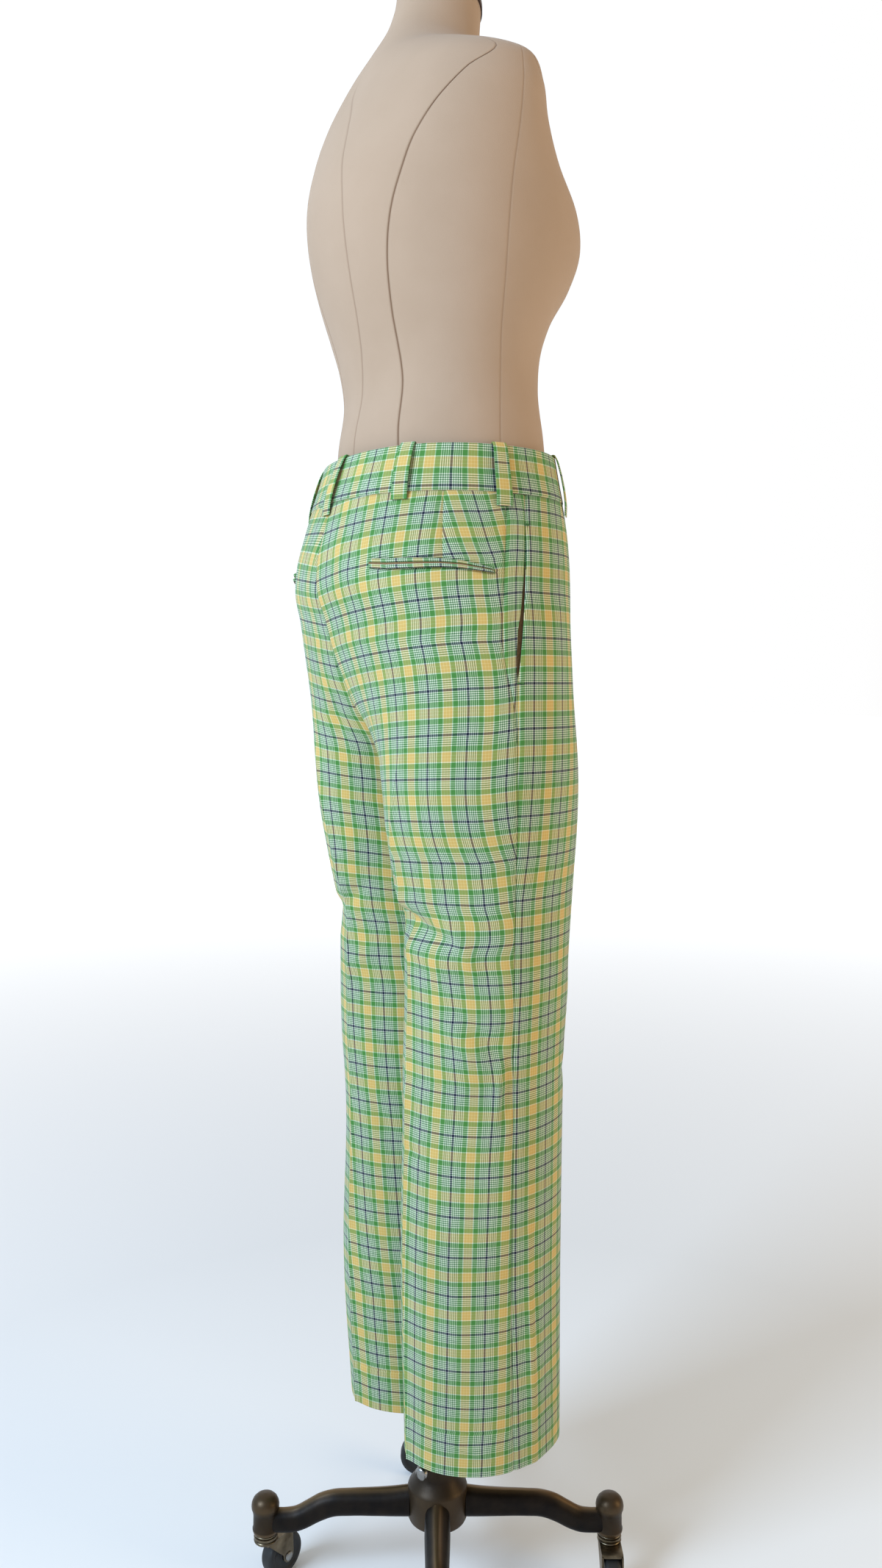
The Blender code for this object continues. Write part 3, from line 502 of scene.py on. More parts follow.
def pulled(even, pull, times):
    """Even places from 0 to 1, drawn toward both ends and the marks that part them in times."""
    turn = 2.0 * times * np.pi
    return even - pull * np.sin(turn * even) / turn


def smooth(start, end, value):
    """0 at start, 1 at end, and an even S between."""
    t = np.clip((value - start) / (end - start), 0.0, 1.0)
    return t * t * (3.0 - 2.0 * t)


def rise_curve(z, top_z):
    """1 at top_z and 0 at the crotch, along a quarter of an ellipse, as a rise seam is cut."""
    t = np.clip((z - CROTCH_Z) / (top_z - CROTCH_Z), 0.0, 1.0)
    return np.sqrt(1.0 - (1.0 - t) ** 2)


def hip_section(z, q):
    """Distance from the middle plane and y, round the hips: q is 0 at the front, 1 at the back."""
    angle = np.pi * q
    full = 1.0 + HIP_FULLNESS * np.sin(2.0 * angle) ** 2
    side_y = column(SIDE_ROWS, SIDE_COLUMNS, "side_y", z)
    front = column(BODY_ROWS, BODY_COLUMNS, "front", z) + side_y
    back = column(BODY_ROWS, BODY_COLUMNS, "back", z) - side_y
    depth = np.where(q < 0.5, front, back)
    out = column(BODY_ROWS, BODY_COLUMNS, "half_width", z) * np.sin(angle) * full
    return out, side_y - depth * np.cos(angle) * full


def leg_section(z, q):
    """The same round one leg: q runs inseam, front crease, side seam, back crease, inseam."""
    angle = 2.0 * np.pi * q
    full = 1.0 + LEG_FULLNESS * np.sin(2.0 * angle) ** 2
    leg = {name: column(LEG_ROWS, LEG_COLUMNS, name, z) for name in LEG_COLUMNS[1:]}
    crease = np.where(q < 0.5, leg["front_crease"], leg["back_crease"])
    reach = np.where(np.cos(angle) > 0.0, crease - leg["inner"], leg["outer"] - crease)
    out = crease - reach * np.cos(angle) * full
    inseam_y = column(SIDE_ROWS, SIDE_COLUMNS, "inseam_y", z)
    side_y = column(SIDE_ROWS, SIDE_COLUMNS, "side_y", z)
    centre_y = inseam_y + (side_y - inseam_y) * (1.0 - np.cos(angle)) / 2.0
    depth = np.where(q < 0.5, leg["front"] + centre_y, leg["back"] - centre_y)
    return out, centre_y - depth * np.sin(angle) * full


def folds(side, z, q):
    """How far the cloth stands out of its plain form, as a sum of soft slanting ridges and troughs."""
    height = np.zeros(np.broadcast(z, q).shape)
    for row in FOLD_ROWS:
        fold = dict(zip(FOLD_COLUMNS, row))
        if fold["side"] != side:
            continue
        across = (q - fold["q"] - fold["slope"] * (z - fold["z"])) / fold["q_width"]
        along = (z - fold["z"]) / fold["z_width"]
        height = height + fold["depth"] * np.exp(-(across**2) - along**2)
    return height


def plain_point(side, z, q):
    """A point of the trousers' outer surface, before folds. side is -1 for the wearer's right."""
    end_distance = np.minimum(q, 1.0 - q)
    rise_top = np.where(q < 0.5, FRONT_RISE_TOP_Z, BACK_RISE_TOP_Z)
    at_seam = 1.0 - rise_curve(z, rise_top)
    away = smooth(LEG_SHAPE_TOP_Z, LEG_SHAPE_FULL_Z, z)
    leg_share = away + (at_seam - away) * np.exp(-((end_distance / 0.10) ** 2))
    hip_out, hip_y = hip_section(z, q)
    leg_out, leg_y = leg_section(z, q)
    out = hip_out + (leg_out - hip_out) * leg_share
    y = hip_y + (leg_y - hip_y) * leg_share
    outer_share = smooth(0.0, PUSH_REACH, out)
    push = PUSH * smooth(*PUSH_MIDDLE_Z, z) * (1.0 - outer_share)
    push = push + PUSH * smooth(*PUSH_OUTER_Z, z) * outer_share
    return np.stack(np.broadcast_arrays(side * out + push, y, z), axis=-1)


def normal(side, z, q):
    """The surface's outward normal, from points a small step away each way."""
    step = 0.0005
    z, q = np.broadcast_arrays(z, q)
    below = z < CROTCH_Z
    after = np.where(below, np.mod(q + step, 1.0), np.minimum(q + step, 1.0))
    before = np.where(below, np.mod(q - step, 1.0), np.maximum(q - step, 0.0))
    round_it = plain_point(side, z, after) - plain_point(side, z, before)
    down = plain_point(side, z - step, q) - plain_point(side, z + step, q)
    out = -side * np.cross(round_it, down)
    at_middle = (np.minimum(q, 1.0 - q) < 0.002) & (z >= CROTCH_Z)
    out[..., 0] = np.where(at_middle, 0.0, out[..., 0])
    return unit(out)


def shell(side, z, q, offset=0.0):
    """Points of the folded outer surface, moved out by offset."""
    out = folds(side, z, q) + offset
    return plain_point(side, z, q) + normal(side, z, q) * out[..., None]


def linear_colour(red, green, blue):
    """A surface's own colour, from how it looks in this light as 0 to 255 on a screen."""
    share = np.array([red, green, blue]) / 255.0
    seen = np.where(share <= 0.04045, share / 12.92, ((share + 0.055) / 1.055) ** 2.4)
    return (*(seen / LIGHT_ON_SURFACES).tolist(), 1.0)


def table_curve(rows, value):
    """Straight lines between (place, value) rows given in any order."""
    table = np.array(sorted(rows))
    return np.interp(value, table[:, 0], table[:, 1])


def new_material(name, base, roughness, metallic=0.0):
    """A Principled material; its nodes and links are handed back for what is added to it."""
    material = bpy.data.materials.new(name)
    material.use_nodes = True
    tree = material.node_tree
    shader = tree.nodes["Principled BSDF"]
    shader.inputs["Base Color"].default_value = base
    shader.inputs["Roughness"].default_value = roughness
    shader.inputs["Metallic"].default_value = metallic
    return material, tree, shader


def object_noise(tree, scale, detail=3.0):
    """Noise read on Object coordinates."""
    place = tree.nodes.new("ShaderNodeTexCoord")
    noise = tree.nodes.new("ShaderNodeTexNoise")
    noise.inputs["Scale"].default_value = scale
    noise.inputs["Detail"].default_value = detail
    tree.links.new(place.outputs["Object"], noise.inputs["Vector"])
    return noise


def ranged(tree, value, low, high, start=0.0, end=1.0):
    """A value from start to end, spread over low to high and held there outside them."""
    spread = tree.nodes.new("ShaderNodeMapRange")
    spread.inputs["From Min"].default_value = start
    spread.inputs["From Max"].default_value = end
    spread.inputs["To Min"].default_value = low
    spread.inputs["To Max"].default_value = high
    tree.links.new(value, spread.inputs["Value"])
    return spread.outputs["Result"]


def mixed(tree, factor, first, second, blend="MIX"):
    """Mixes two colours, each a socket or a colour."""
    mix = tree.nodes.new("ShaderNodeMix")
    mix.data_type = "RGBA"
    mix.blend_type = blend
    for value, socket in ((factor, 0), (first, 6), (second, 7)):
        if isinstance(value, bpy.types.NodeSocket):
            tree.links.new(value, mix.inputs[socket])
        else:
            mix.inputs[socket].default_value = value
    return mix.outputs[2]


def maths(tree, operation, first, second=0.0):
    """One arithmetic step on sockets or numbers."""
    node = tree.nodes.new("ShaderNodeMath")
    node.operation = operation
    for value, socket in ((first, 0), (second, 1)):
        if isinstance(value, bpy.types.NodeSocket):
            tree.links.new(value, node.inputs[socket])
        else:
            node.inputs[socket].default_value = value
    return node.outputs[0]


def add_bump(tree, shader, height, strength, distance):
    """Gives a shader a bump from a height, in metres where the height is 1."""
    bump = tree.nodes.new("ShaderNodeBump")
    bump.inputs["Strength"].default_value = strength
    bump.inputs["Distance"].default_value = distance
    tree.links.new(height, bump.inputs["Height"])
    tree.links.new(bump.outputs["Normal"], shader.inputs["Normal"])


def colour_ramp(tree, place, rows, blending):
    """The colour at a place along a ramp of (position, colour) rows."""
    ramp = tree.nodes.new("ShaderNodeValToRGB")
    ramp.color_ramp.interpolation = blending
    stops = ramp.color_ramp.elements
    for number, (position, colour) in enumerate(rows):
        stop = stops[number] if number < 2 else stops.new(position)
        stop.position = position
        stop.color = colour
    tree.links.new(place, ramp.inputs["Fac"])
    return ramp.outputs["Color"]


def stripe_ramp(tree, place):
    """The stripes of one repeat, read where a thread lies across it."""
    total = sum(width for _, width in PLAID_REPEAT)
    rows = []
    start = 0.0
    for name, width in PLAID_REPEAT:
        rows.append((start, linear_colour(*PLAID_COLOURS[name])))
        start += width / total
    return colour_ramp(tree, maths(tree, "FRACT", place), rows, "CONSTANT")


def plaid_material():
    """Plaid cotton twill.

    A crossing is the geometric mean of its warp and weft colours, so dark threads show strongest,
    with nearly half of the thread that lies on top, which changes along the slanting wale.
    """
    material, tree, shader = new_material("plaid_cotton_twill", (0.4, 0.6, 0.25, 1.0), 0.82)
    layout = tree.nodes.new("ShaderNodeUVMap")
    layout.uv_map = "cloth"
    parts = tree.nodes.new("ShaderNodeSeparateXYZ")
    tree.links.new(layout.outputs["UV"], parts.inputs["Vector"])
    warp = stripe_ramp(tree, parts.outputs["X"])
    weft = stripe_ramp(tree, parts.outputs["Y"])
    both = maths(tree, "ADD", parts.outputs["X"], parts.outputs["Y"])
    slant = maths(tree, "MULTIPLY", both, WALES_PER_REPEAT)
    wale = maths(tree, "PINGPONG", slant, 0.5)
    on_top = mixed(tree, maths(tree, "MULTIPLY", wale, 2.0), warp, weft)
    crossing = tree.nodes.new("ShaderNodeGamma")
    crossing.inputs["Gamma"].default_value = 0.5
    tree.links.new(mixed(tree, 1.0, warp, weft, "MULTIPLY"), crossing.inputs["Color"])
    cloth = mixed(tree, ON_TOP_SHARE, crossing.outputs["Color"], on_top)
    patches = ranged(tree, object_noise(tree, CLOTH_PATCH_SCALE).outputs["Fac"], *CLOTH_PATCH_RANGE)
    shade = tree.nodes.new("ShaderNodeCombineColor")
    for channel in ("Red", "Green", "Blue"):
        tree.links.new(patches, shade.inputs[channel])
    shaded = mixed(tree, 1.0, cloth, shade.outputs["Color"], "MULTIPLY")
    tree.links.new(shaded, shader.inputs["Base Color"])
    shader.inputs["Sheen Weight"].default_value = 0.12
    shader.inputs["Sheen Roughness"].default_value = 0.5
    shader.inputs["Specular IOR Level"].default_value = 0.25
    add_bump(tree, shader, wale, 0.25, 0.0003)
    return material


def speckled_material(name, dark, light, scale, roughness, metallic=0.0, bump=0.0):
    """Two colours mixed by noise on Object coordinates, with a bump of the same noise."""
    material, tree, shader = new_material(name, light, roughness, metallic)
    noise = object_noise(tree, scale)
    spread = ranged(tree, noise.outputs["Fac"], *SPECKLE_SPREAD)
    tree.links.new(mixed(tree, spread, dark, light), shader.inputs["Base Color"])
    if bump:
        add_bump(tree, shader, noise.outputs["Fac"], 0.5, bump)
    return material


def mesh_value(tree, name):
    """A number that a mesh keeps at each of its points."""
    kept = tree.nodes.new("ShaderNodeAttribute")
    kept.attribute_name = name
    return kept.outputs["Fac"]


def jersey_material():
    """Ecru jersey stretched over the form: fine ribs and faint mottling, darker in the seams."""
    material, tree, shader = new_material("ecru_jersey_cover", (0.7, 0.62, 0.52, 1.0), 0.88)
    mottle = ranged(tree, object_noise(tree, 14.0).outputs["Fac"], 0.0, 1.0)
    cover = mixed(tree, mottle, linear_colour(192, 162, 134), linear_colour(205, 175, 148))
    worn = mixed(tree, mesh_value(tree, "seam"), cover, linear_colour(126, 92, 64))
    tree.links.new(worn, shader.inputs["Base Color"])
    shader.inputs["Sheen Weight"].default_value = 0.10
    shader.inputs["Specular IOR Level"].default_value = 0.25
    add_bump(tree, shader, object_noise(tree, 900.0, 1.0).outputs["Fac"], 0.25, 0.0003)
    return material


def iron_material():
    """Dark brown cast iron, rubbed to brass colour in patches, and brass coloured along its ridges and rims
    partly from rubbing and partly as a painted highlight.
    """
    material, tree, shader = new_material("dark_bronzed_iron", (0.1, 0.07, 0.05, 1.0), 0.34, 0.7)
    patches = ranged(tree, object_noise(tree, 55.0).outputs["Fac"], -0.5, 1.1)
    # The mesh's value makes ridges and rims brass coloured: this is worn brass and also a painted highlight.
    # The noise adds rubbed patches.
    rubbed_and_highlit = maths(tree, "ADD", mesh_value(tree, "wear_and_highlight"), maths(tree, "MULTIPLY", patches, 0.12))
    amount = tree.nodes.new("ShaderNodeClamp")
    tree.links.new(rubbed_and_highlit, amount.inputs["Value"])
    metal = mixed(tree, amount.outputs["Result"], linear_colour(13, 6, 4), linear_colour(124, 100, 70))
    tree.links.new(metal, shader.inputs["Base Color"])
    tree.links.new(ranged(tree, amount.outputs["Result"], 0.48, 0.30), shader.inputs["Roughness"])
    add_bump(tree, shader, object_noise(tree, 260.0).outputs["Fac"], 0.25, 0.0004)
    return material


MATERIALS = {
    "plaid_cotton": plaid_material(),
    "pocketing": speckled_material(
        "tan_pocketing", linear_colour(118, 88, 52), linear_colour(168, 128, 84), 700.0, 0.9, bump=0.0002
    ),
    "thread": speckled_material(
        "green_thread", linear_colour(40, 96, 44), linear_colour(84, 146, 70), 900.0, 0.7
    ),
    "button": speckled_material(
        "green_button", linear_colour(70, 108, 50), linear_colour(112, 152, 78), 60.0, 0.35
    ),
    "ecru_jersey": jersey_material(),
    "neck_cap": speckled_material(
        "brown_neck_cap", linear_colour(52, 34, 28), linear_colour(84, 58, 48), 40.0, 0.5, bump=0.0003
    ),
    "dark_iron": iron_material(),
    "steel": speckled_material(
        "brushed_steel", linear_colour(150, 148, 144), linear_colour(196, 194, 190), 120.0, 0.28, 1.0
    ),
    "nickel": speckled_material(
        "warm_nickel", linear_colour(88, 76, 60), linear_colour(158, 144, 120), 90.0, 0.3, 1.0
    ),
    "rubber": speckled_material(
        "black_rubber", linear_colour(16, 16, 17), linear_colour(34, 34, 35), 150.0, 0.55, bump=0.0002
    ),
}


def grid_quads(rows, columns, closed_rows=False, closed_columns=False):
    """Quads of a grid of points. A closed way joins its last line of points to its first."""
    index = np.arange(rows * columns).reshape(rows, columns)
    if closed_rows:
        index = np.vstack([index, index[:1]])
    if closed_columns:
        index = np.hstack([index, index[:, :1]])
    corners = (index[:-1, :-1], index[:-1, 1:], index[1:, 1:], index[1:, :-1])
    return np.stack([corner.ravel() for corner in corners], axis=1)


def enclosed(points, quads):
    """Six times the volume that the quads enclose, above 0 where they face outwards."""
    a, b, c, d = (points[quads[:, corner]] for corner in range(4))
    return (np.cross(a, b) * c).sum() + (np.cross(a, c) * d).sum()


def make_piece(name, points, quads, slot, body, nodes=(), ends=(), uv=None, attribute=None, angle=50.0):
    """Puts a grid's points into a mesh, with its end faces, its layout of the plaid and its finish."""
    mesh = bpy.data.meshes.new(name)
    mesh.from_pydata(points.tolist(), [], [*quads.tolist(), *ends])
    mesh.shade_smooth()
    mesh.set_sharp_from_angle(angle=math.radians(angle))
    if uv is not None:
        layer = mesh.uv_layers.new(name="cloth")
        layer.data.foreach_set("uv", uv.astype(np.float32).ravel())
    if attribute is not None:
        values = mesh.attributes.new(attribute[0], "FLOAT", "POINT")
        values.data.foreach_set("value", attribute[1].astype(np.float32).ravel())
    mesh.materials.append(MATERIALS[slot])
    piece = bpy.data.objects.new(name, mesh)
    bpy.context.scene.collection.objects.link(piece)
    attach(piece, body)
    if nodes:
        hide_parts(*nodes)
    return piece


def closed_grid(name, grid, slot, body, nodes=(), attribute=None, closed_rows=False, angle=50.0):
    """A closed solid from rings of points: rows run along it, and its ends are flat where open."""
    rows, columns = grid.shape[:2]
    points = grid.reshape(-1, 3)
    quads = grid_quads(rows, columns, closed_rows=closed_rows, closed_columns=True)
    ends = []
    if not closed_rows:
        ends = [np.arange(columns)[::-1], np.arange((rows - 1) * columns, rows * columns)]
    quads, ends = facing_out(points, quads, ends)
    return make_piece(name, points, quads, slot, body, nodes, ends, None, attribute, angle)


def facing_out(points, quads, ends=()):
    """A closed surface's quads and flat ends, turned round where they face inwards."""
    shifted = points - points.mean(axis=0)
    if enclosed(shifted, quads) + sum(cap_volume(shifted, end) for end in ends) < 0.0:
        return quads[:, ::-1], [end[::-1].tolist() for end in ends]
    return quads, [end.tolist() for end in ends]


def cap_volume(points, ring):
    """Six times the volume under a flat end, as a fan from the ring's first point."""
    first = points[ring[0]]
    return (np.cross(points[ring[1:-1]], points[ring[2:]]) * first).sum()


def turned(profile, sides, centre=(0.0, 0.0)):
    """Rings round +Z through (radius, z) pairs."""
    angle = 2.0 * np.pi * np.arange(sides) / sides
    table = np.array(profile)
    radius, z = table[:, :1], table[:, 1:]
    x = centre[0] + radius * np.cos(angle)
    y = centre[1] + radius * np.sin(angle)
    return np.stack([x, y, z + 0.0 * angle], axis=-1)


def corner_uv(across, along, quads):
    """The plaid's layout at each corner of each quad."""
    return np.stack([across.ravel()[quads], along.ravel()[quads]], axis=-1)


def closed_cloth(name, grid, quads, ends, across, along, nodes):
    """A closed piece of cloth, with its plaid laid out over its quads and its flat ends."""
    points = grid.reshape(-1, 3)
    quads, ends = facing_out(points, quads, ends)
    across, along = np.broadcast_arrays(across, along)
    uv = [corner_uv(across, along, np.array(corners)).reshape(-1, 2) for corners in (quads, *ends)]
    return make_piece(name, points, quads, "plaid_cotton", "form", nodes, ends, np.concatenate(uv))


def pressed_and_creased(side, z, q):
    """Relief of the legs: the pressed creases as sharp ridges, and slanting folds as soft ones."""
    from_press = np.minimum(np.abs(q - FRONT_CREASE_Q), np.abs(q - BACK_CREASE_Q)) * LEG_ROUND
    relief = PRESS_HEIGHT * smooth(*PRESS_Z, z) * np.exp(-from_press / PRESS_WIDTH)
    for row in CREASE_ROWS:
        crease = dict(zip(CREASE_COLUMNS, row))
        if crease["side"] != side:
            continue
        run_z = crease["z_end"] - crease["z_start"]
        run_q = (crease["q_end"] - crease["q_start"]) * LEG_ROUND
        to_z = z - crease["z_start"]
        to_q = (q - crease["q_start"]) * LEG_ROUND
        share = np.clip((to_z * run_z + to_q * run_q) / (run_z**2 + run_q**2), 0.0, 1.0)
        away = (to_z - share * run_z) ** 2 + (to_q - share * run_q) ** 2
        swell = CREASE_END_SHARE + (1.0 - CREASE_END_SHARE) * np.sin(np.pi * share)
        relief = relief + crease["depth"] * swell * np.exp(-away / crease["width"] ** 2)
    return relief


def weft_repeats(side, z, q):
    """How many repeats of the plaid lie between the waist and a point, down the weft lines' own slant."""
    past = np.clip(q - BACK_TILT_Q, 0.0, None) / BACK_TILT_SPAN
    toward_back = -BACK_TILT * past**BACK_TILT_POWER
    toward_back = toward_back * (1.0 - YOKE_EASE * smooth(*YOKE_EASE_Z, z))
    toward_front = FRONT_TILT * smooth(*FRONT_TILT_Q, q)
    tilt = (toward_back + toward_front) * smooth(*TILT_Z, z)
    return table_curve(WEFT_ROWS[side], z - tilt)


def distance_along(points, q, start):
    """Distance along each row of points from the place where q is start."""
    steps = np.linalg.norm(np.diff(points, axis=1), axis=-1)
    run = np.concatenate([np.zeros((len(points), 1)), np.cumsum(steps, axis=1)], axis=1)
    reached = [np.interp(start, places, lengths) for places, lengths in zip(q, run)]
    return run - np.array(reached)[:, None]


def dart_width(z):
    """How much cloth the dart takes up at each height."""
    return DART_TOP_WIDTH * np.clip((z - DART_Z[0]) / (DART_Z[1] - DART_Z[0]), 0.0, None)


def panel_rows():
    """Heights of a panel's rows, closer together at the hem, its stitching and the pockets."""
    even = np.linspace(WAIST_SEAM_Z, HEM_Z, PANEL_ROWS)
    at_hem = HEM_Z + np.array(HEM_ROWS_UP)
    at_stitch = HEM_STITCH_Z + np.array(HEM_STITCH_ROWS)
    at_pocket_ends = [end + np.linspace(-POCKET_END_REACH, POCKET_END_REACH, 9) for end in SIDE_POCKET_Z]
    at_welts = np.linspace(*WELT_ROWS_Z, 19)
    rows = np.concatenate([even, at_hem, at_stitch, *at_pocket_ends, at_welts])
    return np.unique(np.round(rows, 5))[::-1]


def panel_shares():
    """Places across a panel from 0 to 1, closer at both edges and at the pressed crease."""
    even = np.linspace(0.0, 1.0, PANEL_COLUMNS + 1)
    return pulled(even, COLUMN_PULL, 2)


def with_dart(shares, dart_share, steps):
    """The same places on each row, with the one numbered DART_COLUMN moved onto the dart.

    The places between the seam and the dart, and between the dart and the crease, spread evenly
    from their old ones, and the four beside the dart lie close to it.
    """
    before = shares[: DART_COLUMN + 1] / shares[DART_COLUMN]
    crease = PANEL_COLUMNS // 2
    after = (shares[DART_COLUMN : crease + 1] - shares[DART_COLUMN]) / (shares[crease] - shares[DART_COLUMN])
    left = dart_share * before[None, :]
    right = dart_share + (shares[crease] - dart_share) * after[None, 1:]
    rest = shares[None, crease + 1 :] + 0.0 * dart_share
    rows = np.hstack([left, right, rest])
    rows[:, DART_COLUMN - 2 : DART_COLUMN + 3] = dart_share + steps[None, :]
    return rows


def side_name(side):
    """The wearer's side that a sign stands for."""
    return "right" if side < 0 else "left"


def add_panels():
    """Front and back panels of both sides, as thin cloth on the shell.

    A point is the shell's point moved by the relief of its folds, and in along its edges, the dart,
    the welts' outline and the hem's stitches. The front's edge stands out where its pocket gapes.
    """
    z = panel_rows()[:, None]
    seam = column(SEAM_ROWS, SEAM_COLUMNS, "seam", z)
    opening = column(SEAM_ROWS, SEAM_COLUMNS, "opening", z)
    back_start, back_end = seam + SEAM_SHARE, 1.0 - SEAM_SHARE
    dart_share = (DART_Q - back_start) / (back_end - back_start)
    back_share = with_dart(panel_shares(), dart_share, np.array(DART_STEPS))
    spans = {
        "front": (SEAM_SHARE, opening - SEAM_SHARE, panel_shares()[None, :]),
        "back": (back_start, back_end, back_share),
    }
    for side in (-1, 1):
        for part, (start, end, share) in spans.items():
            q = start + (end - start) * share
            rows_z, q = np.broadcast_arrays(z, q)
            edge = np.minimum(q - start, end - q) * LEG_ROUND
            offset = pressed_and_creased(side, rows_z, q)
            offset = offset - SEAM_ROLL * bell(edge, SEAM_ROLL_WIDTH)
            offset = offset - HEM_STITCH_DEPTH * bell(rows_z - HEM_STITCH_Z, HEM_STITCH_WIDTH)
            if part == "front":
                offset = offset + GAPE_LIFT * pocket_gape(rows_z) * np.exp(-((end - q) / GAPE_SPAN))
            if part == "back":
                offset = offset - WELT_SINK * bell(welt_distance(rows_z, q), WELT_SINK_WIDTH)
                in_dart = smooth(DART_Z[0], DART_Z[0] + DART_FADE, rows_z)
                offset = offset - DART_DEPTH * in_dart * bell((q - DART_Q) * LEG_ROUND, DART_LINE)
            points = shell(side, rows_z, q, offset)
            quads = grid_quads(*q.shape)
            along = weft_repeats(side, rows_z, q)
            if part == "back":
                run = distance_along(points, q, BACK_CREASE_Q)
                navy = table_curve(BACK_WARP_ROWS[side], rows_z)
                past_dart = (run - navy) / BACK_WARP_REPEAT
                before_dart = past_dart - dart_width(rows_z) / BACK_WARP_REPEAT
                is_before = (quads[:, :1] % q.shape[1]) < DART_COLUMN
                uv = np.where(
                    is_before[..., None],
                    corner_uv(before_dart, along, quads),
                    corner_uv(past_dart, along, quads),
                )
            else:
                run = distance_along(points, q, SIDE_Q)
                across = (run - table_curve(FRONT_WARP_ROWS, rows_z)) / FRONT_WARP_REPEAT
                uv = corner_uv(across, along, quads)
            if side > 0:
                quads, uv = quads[:, ::-1], uv[:, ::-1]
            name = f"trouser_{part}_{side_name(side)}"
            piece = make_piece(
                name, points.reshape(-1, 3), quads, "plaid_cotton", "form",
                (f"{part}_panel_{side_name(side)}",), uv=uv,
            )
            thicken(piece, SHELL_WALL)


def pocket_gape(z):
    """How far the side pocket gapes at each height, from 0 at its ends to 1 low on its opening."""
    low, high = SIDE_POCKET_Z
    share = np.clip((z - low) / (high - low), 0.0, 1.0)
    return np.sin(np.pi * share**0.7) ** 0.8


def welt_lines(q):
    """Middle height and half height of a back pocket's mouth at each share of the way round."""
    middle = table_curve(WELT_MIDDLE_ROWS, q)
    half = table_curve(WELT_HALF_ROWS, q)
    return middle, half


def welt_distance(z, q):
    """Distance from the outline of the back pocket's welts, in metres."""
    middle, half = welt_lines(q)
    past_end = np.maximum(np.maximum(WELT_Q[0] - q, q - WELT_Q[1]), 0.0) * LEG_ROUND
    return np.hypot(np.abs(z - middle) - half, past_end)


def thicken(piece, wall):
    """Gives a sheet its thickness, inwards from the face that shows."""
    solid = piece.modifiers.new("Cloth thickness", "SOLIDIFY")
    solid.thickness = wall
    solid.offset = -1.0


def ring_points(z, q_turn, offset):
    """Points round both sides of the waist: q_turn runs 0 to 2, from the front over the right side."""
    q = np.where(q_turn < 1.0, q_turn, 2.0 - q_turn)
    right = shell(-1, z + 0.0 * q, q + 0.0 * z, offset)
    left = shell(1, z + 0.0 * q, q + 0.0 * z, offset)
    return np.where((q_turn < 1.0)[..., None], right, left)


def band_repeats(q_turn):
    """Repeats of the plaid along the band, from the distance round it at its middle height."""
    even = np.linspace(0.0, 2.0, 801)
    points = ring_points(np.full_like(even, LOOP_LEVEL)[None, :], even[None, :], 0.0)[0]
    run = running(np.linalg.norm(np.diff(points, axis=0), axis=1))
    distance = np.interp(q_turn, even, run - np.interp(BACK_CREASE_Q, even, run))
    return table_curve(BAND_WARP_ROWS, distance)


def strip(name, z, offset, q_turn, across, along, nodes):
    """A closed strip of cloth: a profile of heights and offsets, carried round the waist.

    The profile's points are rows and the places round the waist are columns.
    """
    z, q_turn, offset = np.broadcast_arrays(z, q_turn, offset)
    turn = np.mod(q_turn, 2.0)
    rows, columns = turn.shape
    quads = grid_quads(rows, columns, closed_rows=True)
    ends = [np.arange(rows) * columns, (np.arange(rows) * columns + columns - 1)[::-1]]
    piece = closed_cloth(name, ring_points(z, turn, offset), quads, ends, across, along, nodes)


def rounded_profile(top, bottom, outer, inner):
    """Closed (z, offset) profile of a flat strip with a round upper and lower edge."""
    half = (outer - inner) / 2.0
    middle = (outer + inner) / 2.0
    turn = np.linspace(0.0, np.pi, 7)
    face_z = np.linspace(bottom + half, top - half, 12)
    top_arc = np.stack([top - half + half * np.sin(turn), middle + half * np.cos(turn)], axis=1)
    low_arc = np.stack([bottom + half - half * np.sin(turn), middle - half * np.cos(turn)], axis=1)
    up = np.stack([face_z, outer + 0.0 * face_z], axis=1)[1:-1]
    down = np.stack([face_z[::-1], inner + 0.0 * face_z], axis=1)[1:-1]
    return np.concatenate([up, top_arc, down, low_arc])


def add_waistband():
    """The band, rounded along its top edge and cut along the weft."""
    profile = rounded_profile(BAND_TOP_Z, WAIST_SEAM_Z + BAND_SEAM_GAP, BAND_PROUD, BAND_PROUD - BAND_WALL)
    q_turn = np.linspace(BAND_OPENING, 2.0 - BAND_OPENING, BAND_TURNS + 1)[None, :]
    z, offset = profile[:, :1], profile[:, 1:]
    strip(
        "waistband_cloth", z, offset, q_turn, band_repeats(q_turn),
        (BAND_WEFT_Z - z) / BAND_WEFT_REPEAT, ("waistband",),
    )


def half_loop(middle, side):
    """Half of a loop's width as a step of q, measured on the band about the loop's middle."""
    step = 0.01
    across = shell(side, LOOP_LEVEL, middle + step) - shell(side, LOOP_LEVEL, middle - step)
    return step * LOOP_WIDTH / np.linalg.norm(across)


